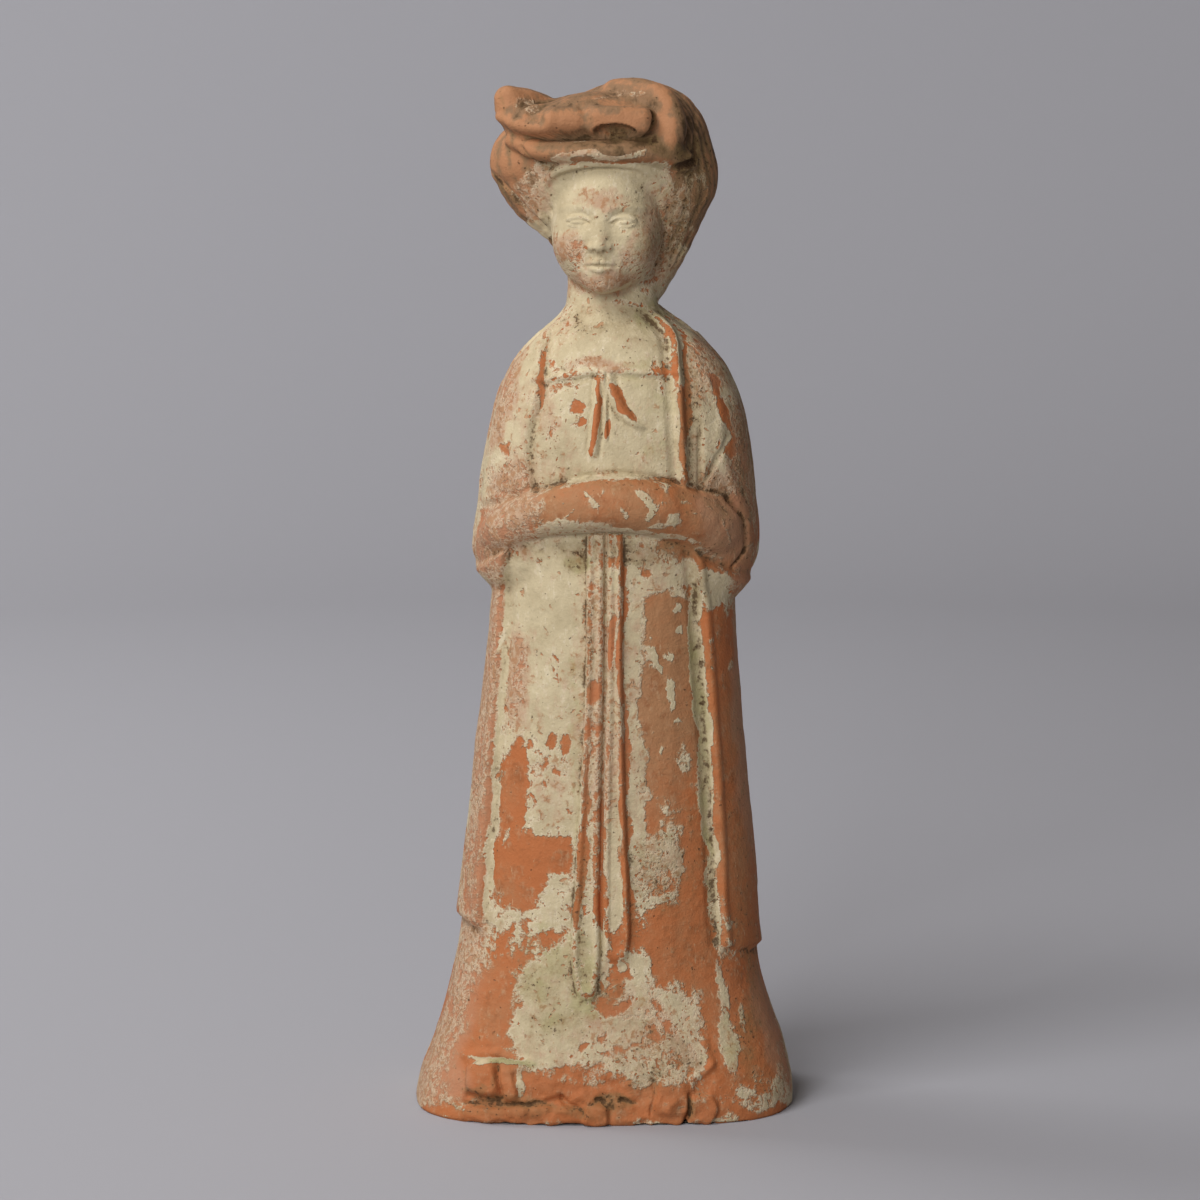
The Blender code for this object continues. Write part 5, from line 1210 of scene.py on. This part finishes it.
def slippedClay():
    material = bpy.data.materials.new("slippedClay")
    material.use_nodes = True
    bench = Bench(material)
    shader = material.node_tree.nodes["Principled BSDF"]
    shader.inputs["Specular IOR Level"].default_value = finish["shine"]
    tone = {name: fromScreen(colour) for name, colour in finish.items() if isinstance(colour, tuple)}
    place = bench.add("ShaderNodeTexCoord").outputs["Object"]
    upright = bench.add("ShaderNodeMapping")
    bench.join(place, upright.inputs["Vector"])
    upright.inputs["Scale"].default_value = uprightScale
    noise = {name: bench.spots(place, *sizes) for name, sizes in noises.items()}
    for name, sizes in uprightNoises.items():
        noise[name] = bench.spots(upright.outputs["Vector"], *sizes)
    broad, middling, small, tiny = (noise[name] for name in ("broad", "middling", "small", "tiny"))
    ragged, streaks, soiled = noise["ragged"], noise["streaks"], noise["soiled"]
    groove = bench.layer("groove")
    ridge = bench.times(bench.sum("MINIMUM", groove, 0.0), -1.0)
    thinSlip = bench.layer("thinSlip")
    earthAndShade = bench.layer("earthAndShade")
    proudBroad = bench.layer("proudBroad")

    # how much slip is left, with ragged edges
    left = bench.pile(-1.15, (bench.layer("slipLeft"), 2.3), (broad, 0.26), (middling, 0.42), (ragged, 0.48),
                      (small, 0.28), (tiny, 0.12), (ridge, -0.50), (bench.times(thinSlip, streaks), 0.42))
    pitted = bench.pile(noise["pits"], (middling, 0.5), (thinSlip, 0.55), (earthAndShade, 0.35))
    left = bench.pile(left, (bench.step(pitted, 0.95, 1.35), -1.1))
    edge = bench.pile(finish["flakeSharpness"], (thinSlip, 0.45))
    kept = bench.step(bench.sum("DIVIDE", left, edge), -1.0, 1.0)
    holes = bench.pile(noise["holes"], (thinSlip, 0.45), (middling, 0.45))
    holes = bench.times(bench.step(holes, 0.95, 1.15), 0.8)
    kept = bench.times(kept, bench.sum("SUBTRACT", 1.0, holes))
    rim = bench.step(bench.sum("ABSOLUTE", bench.sum("SUBTRACT", left, 0.14)), 0.20, 0.03)

    # the slip rubbed thin
    film = bench.pile(-0.85, (thinSlip, 1.7), (noise["film"], 0.5), (streaks, 0.40), (ragged, 0.35))
    film = bench.step(film, -0.35, 0.75)

    # colours of the clay and of the hair
    tan = bench.pile(bench.layer("tanned"), (broad, 0.3), (ragged, 0.25))
    dust = bench.pile(-0.55, (small, 0.4), (streaks, 0.5), (middling, 0.35), (left, 0.5))
    scratch = bench.pile(noise["scratch"], (middling, 0.35), (thinSlip, 0.35))
    clay = bench.coat(tone["clay"], tone["clayTan"], tan, 0.0, 1.0)
    clay = bench.coat(clay, tone["clayDeep"], middling, 0.0, 1.2)
    clay = bench.coat(clay, tone["clayDust"], dust, -0.9, 0.25, 0.55)
    clay = bench.coat(clay, tone["clayDust"], scratch, 0.8, 1.2, 0.6)
    clay = bench.coat(clay, tone["slipPink"], thinSlip, 0.35, 1.1, 0.5)
    hairTone = bench.pile(bench.layer("hairTone"), (middling, 0.55), (ragged, 0.45), (streaks, 0.30),
                          (proudBroad, 0.45))
    hair = bench.coat(tone["hairDark"], tone["hairGrey"], hairTone, -0.8, -0.1)
    hair = bench.coat(hair, tone["hairOrange"], hairTone, -0.1, 0.7)
    clay = bench.blend(bench.layer("isHair"), clay, hair)

    # colours of the slip
    mottle = bench.pile(noise["mottle"], (ragged, 0.35))
    pale = bench.pile(streaks, (mottle, -0.6), (small, 0.5))
    fleck = bench.pile(thinSlip, (small, 0.5), (ragged, 0.8))
    # the bloom also paints shade on the neck under the chin
    bloomAndShade = bench.pile(-0.5, (bench.layer("greenBloomAndShade"), 1.3), (noise["bloomAndShade"], 0.45))
    slipColour = bench.coat(tone["slip"], tone["slipGrey"], mottle, -0.5, 1.2)
    slipColour = bench.coat(slipColour, tone["slipRim"], pale, 0.2, 1.0, 0.6)
    slipColour = bench.blend(bench.times(film, 0.8), slipColour, tone["slipPink"])
    slipColour = bench.coat(slipColour, tone["clayTan"], fleck, 0.7, 1.15, 0.75)
    slipColour = bench.coat(slipColour, tone["greenBloomAndShade"], bloomAndShade, -0.1, 1.0, 0.75)
    slipColour = bench.blend(bench.times(rim, 0.55), slipColour, tone["slipRim"])
    colour = bench.blend(kept, clay, slipColour)

    # earth in the grooves, olive around it, and specks; these also paint the shade in the hair's openings and
    # on the neck under the chin
    inGroove = bench.times(groove, bench.sum("ADD", earthAndShade, 0.2))
    dirtAndShade = bench.pile(-0.95, (earthAndShade, 0.95), (inGroove, 0.8), (proudBroad, -0.45), (soiled, 0.60),
                      (small, 0.50), (tiny, 0.20))
    washAndShade = bench.times(bench.step(bench.pile(earthAndShade, (soiled, 0.2)), 0.2, 0.95), 0.42)
    washAndShade = bench.sum("MULTIPLY_ADD", bench.step(dirtAndShade, -0.65, 0.3), 0.3, washAndShade, clamp=True)
    colour = bench.blend(washAndShade, colour, tone["olive"])
    dirtAndShade = bench.times(bench.step(dirtAndShade, -0.05, 0.55), 0.8)
    colour = bench.blend(dirtAndShade, colour, tone["earthAndShade"])
    speck = bench.pile(noise["speck"], (small, 0.45), (earthAndShade, 0.7), (soiled, 0.25))
    speck = bench.times(bench.step(speck, 1.0, 1.35), 0.7)
    colour = bench.blend(speck, colour, tone["earthAndShade"])
    bench.join(colour, shader.inputs["Base Color"])

    rough = bench.pile(0.74, (kept, 0.12))
    rough = bench.sum("MULTIPLY_ADD", dirtAndShade, 0.1, rough, clamp=True)
    bench.join(rough, shader.inputs["Roughness"])

    # the slip stands proud of the clay, and both are grainy
    grainy = finish["clayGrain"]
    height = bench.times(kept, finish["slipThickness"])
    height = bench.pile(height, (small, 0.5 * grainy), (tiny, 0.25 * grainy), (middling, 0.8 * grainy),
                        (speck, -finish["slipThickness"]))
    relieved = bench.add("ShaderNodeBump")
    relieved.inputs["Strength"].default_value = 1.0
    relieved.inputs["Distance"].default_value = 1.0
    bench.join(height, relieved.inputs["Height"])
    bench.join(relieved.outputs["Normal"], shader.inputs["Normal"])
    print("clay and slip mixed,", len(material.node_tree.nodes), "nodes")
    return material


# The room: a round of pale paper that curves up on all sides, and soft lights

paper = dict(radius=1.75, corners=96, bend=0.6, bendSteps=14, height=2.4,
             colour=(166, 165, 169), roughness=0.9)
lamps = dict(
    # place, where it points, size in metres, power in watts, colour
    key=((-0.62, -0.55, 1.10), (0, 0, 0.17), 0.45, 9.0, (0.98, 0.98, 1.0)),
    window=((-0.50, -1.40, 0.74), (0, 0, 0.17), 0.6, 13.0, (0.97, 0.98, 1.0)),
    wall=((-0.75, 0.45, 1.30), (-0.35, 1.7, 0.45), 0.8, 15.0, (0.97, 0.98, 1.0)),
)
roomLight = dict(colour=(1.0, 0.80, 0.54), strength=0.14)


def addPaper():
    bpy.ops.mesh.primitive_circle_add(vertices=paper["corners"], radius=paper["radius"], fill_type="NGON")
    sheet = bpy.context.object
    sheet.name = "paper"
    bpy.ops.object.mode_set(mode="EDIT")
    bpy.ops.mesh.select_mode(type="EDGE")
    bpy.ops.mesh.select_all(action="SELECT")
    bpy.ops.mesh.extrude_edges_move(TRANSFORM_OT_translate=dict(value=(0, 0, paper["height"])))
    bpy.ops.object.mode_set(mode="OBJECT")
    corner = {v.index for v in sheet.data.vertices if v.co.z < 0.5 * paper["height"]}
    for item in (*sheet.data.vertices, *sheet.data.edges, *sheet.data.polygons):
        item.select = False
    for edge in sheet.data.edges:
        edge.select = corner.issuperset(edge.vertices)
    bpy.ops.object.mode_set(mode="EDIT")
    bpy.ops.mesh.bevel(offset=paper["bend"], segments=paper["bendSteps"], affect="EDGES")
    bpy.ops.object.mode_set(mode="OBJECT")
    bpy.ops.object.shade_smooth()
    material = bpy.data.materials.new("paper")
    material.use_nodes = True
    shader = material.node_tree.nodes["Principled BSDF"]
    shader.inputs["Base Color"].default_value = fromScreen(paper["colour"])
    shader.inputs["Roughness"].default_value = paper["roughness"]
    sheet.data.materials.append(material)
    print("paper laid")


def addLights():
    for name, (place, aim, size, power, colour) in lamps.items():
        way = Vector(aim) - Vector(place)
        turn = way.to_track_quat("-Z", "Y").to_euler()
        bpy.ops.object.light_add(type="AREA", location=place, rotation=turn)
        lamp = bpy.context.object
        lamp.name = name
        lamp.data.size = size
        lamp.data.energy = power
        lamp.data.color = colour
    world = bpy.data.worlds.new("room")
    world.use_nodes = True
    room = world.node_tree.nodes["Background"]
    room.inputs["Color"].default_value = (*roomLight["colour"], 1.0)
    room.inputs["Strength"].default_value = roomLight["strength"]
    bpy.context.scene.world = world
    bpy.context.scene.view_settings.view_transform = "Standard"
    print("lights set")


addCamera()
addPaper()
addLights()
figure, middle, size = makeFigure()
paintFigure(figure, middle, size)
figure.data.materials.append(slippedClay())
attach(figure, "root")
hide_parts(solidName)
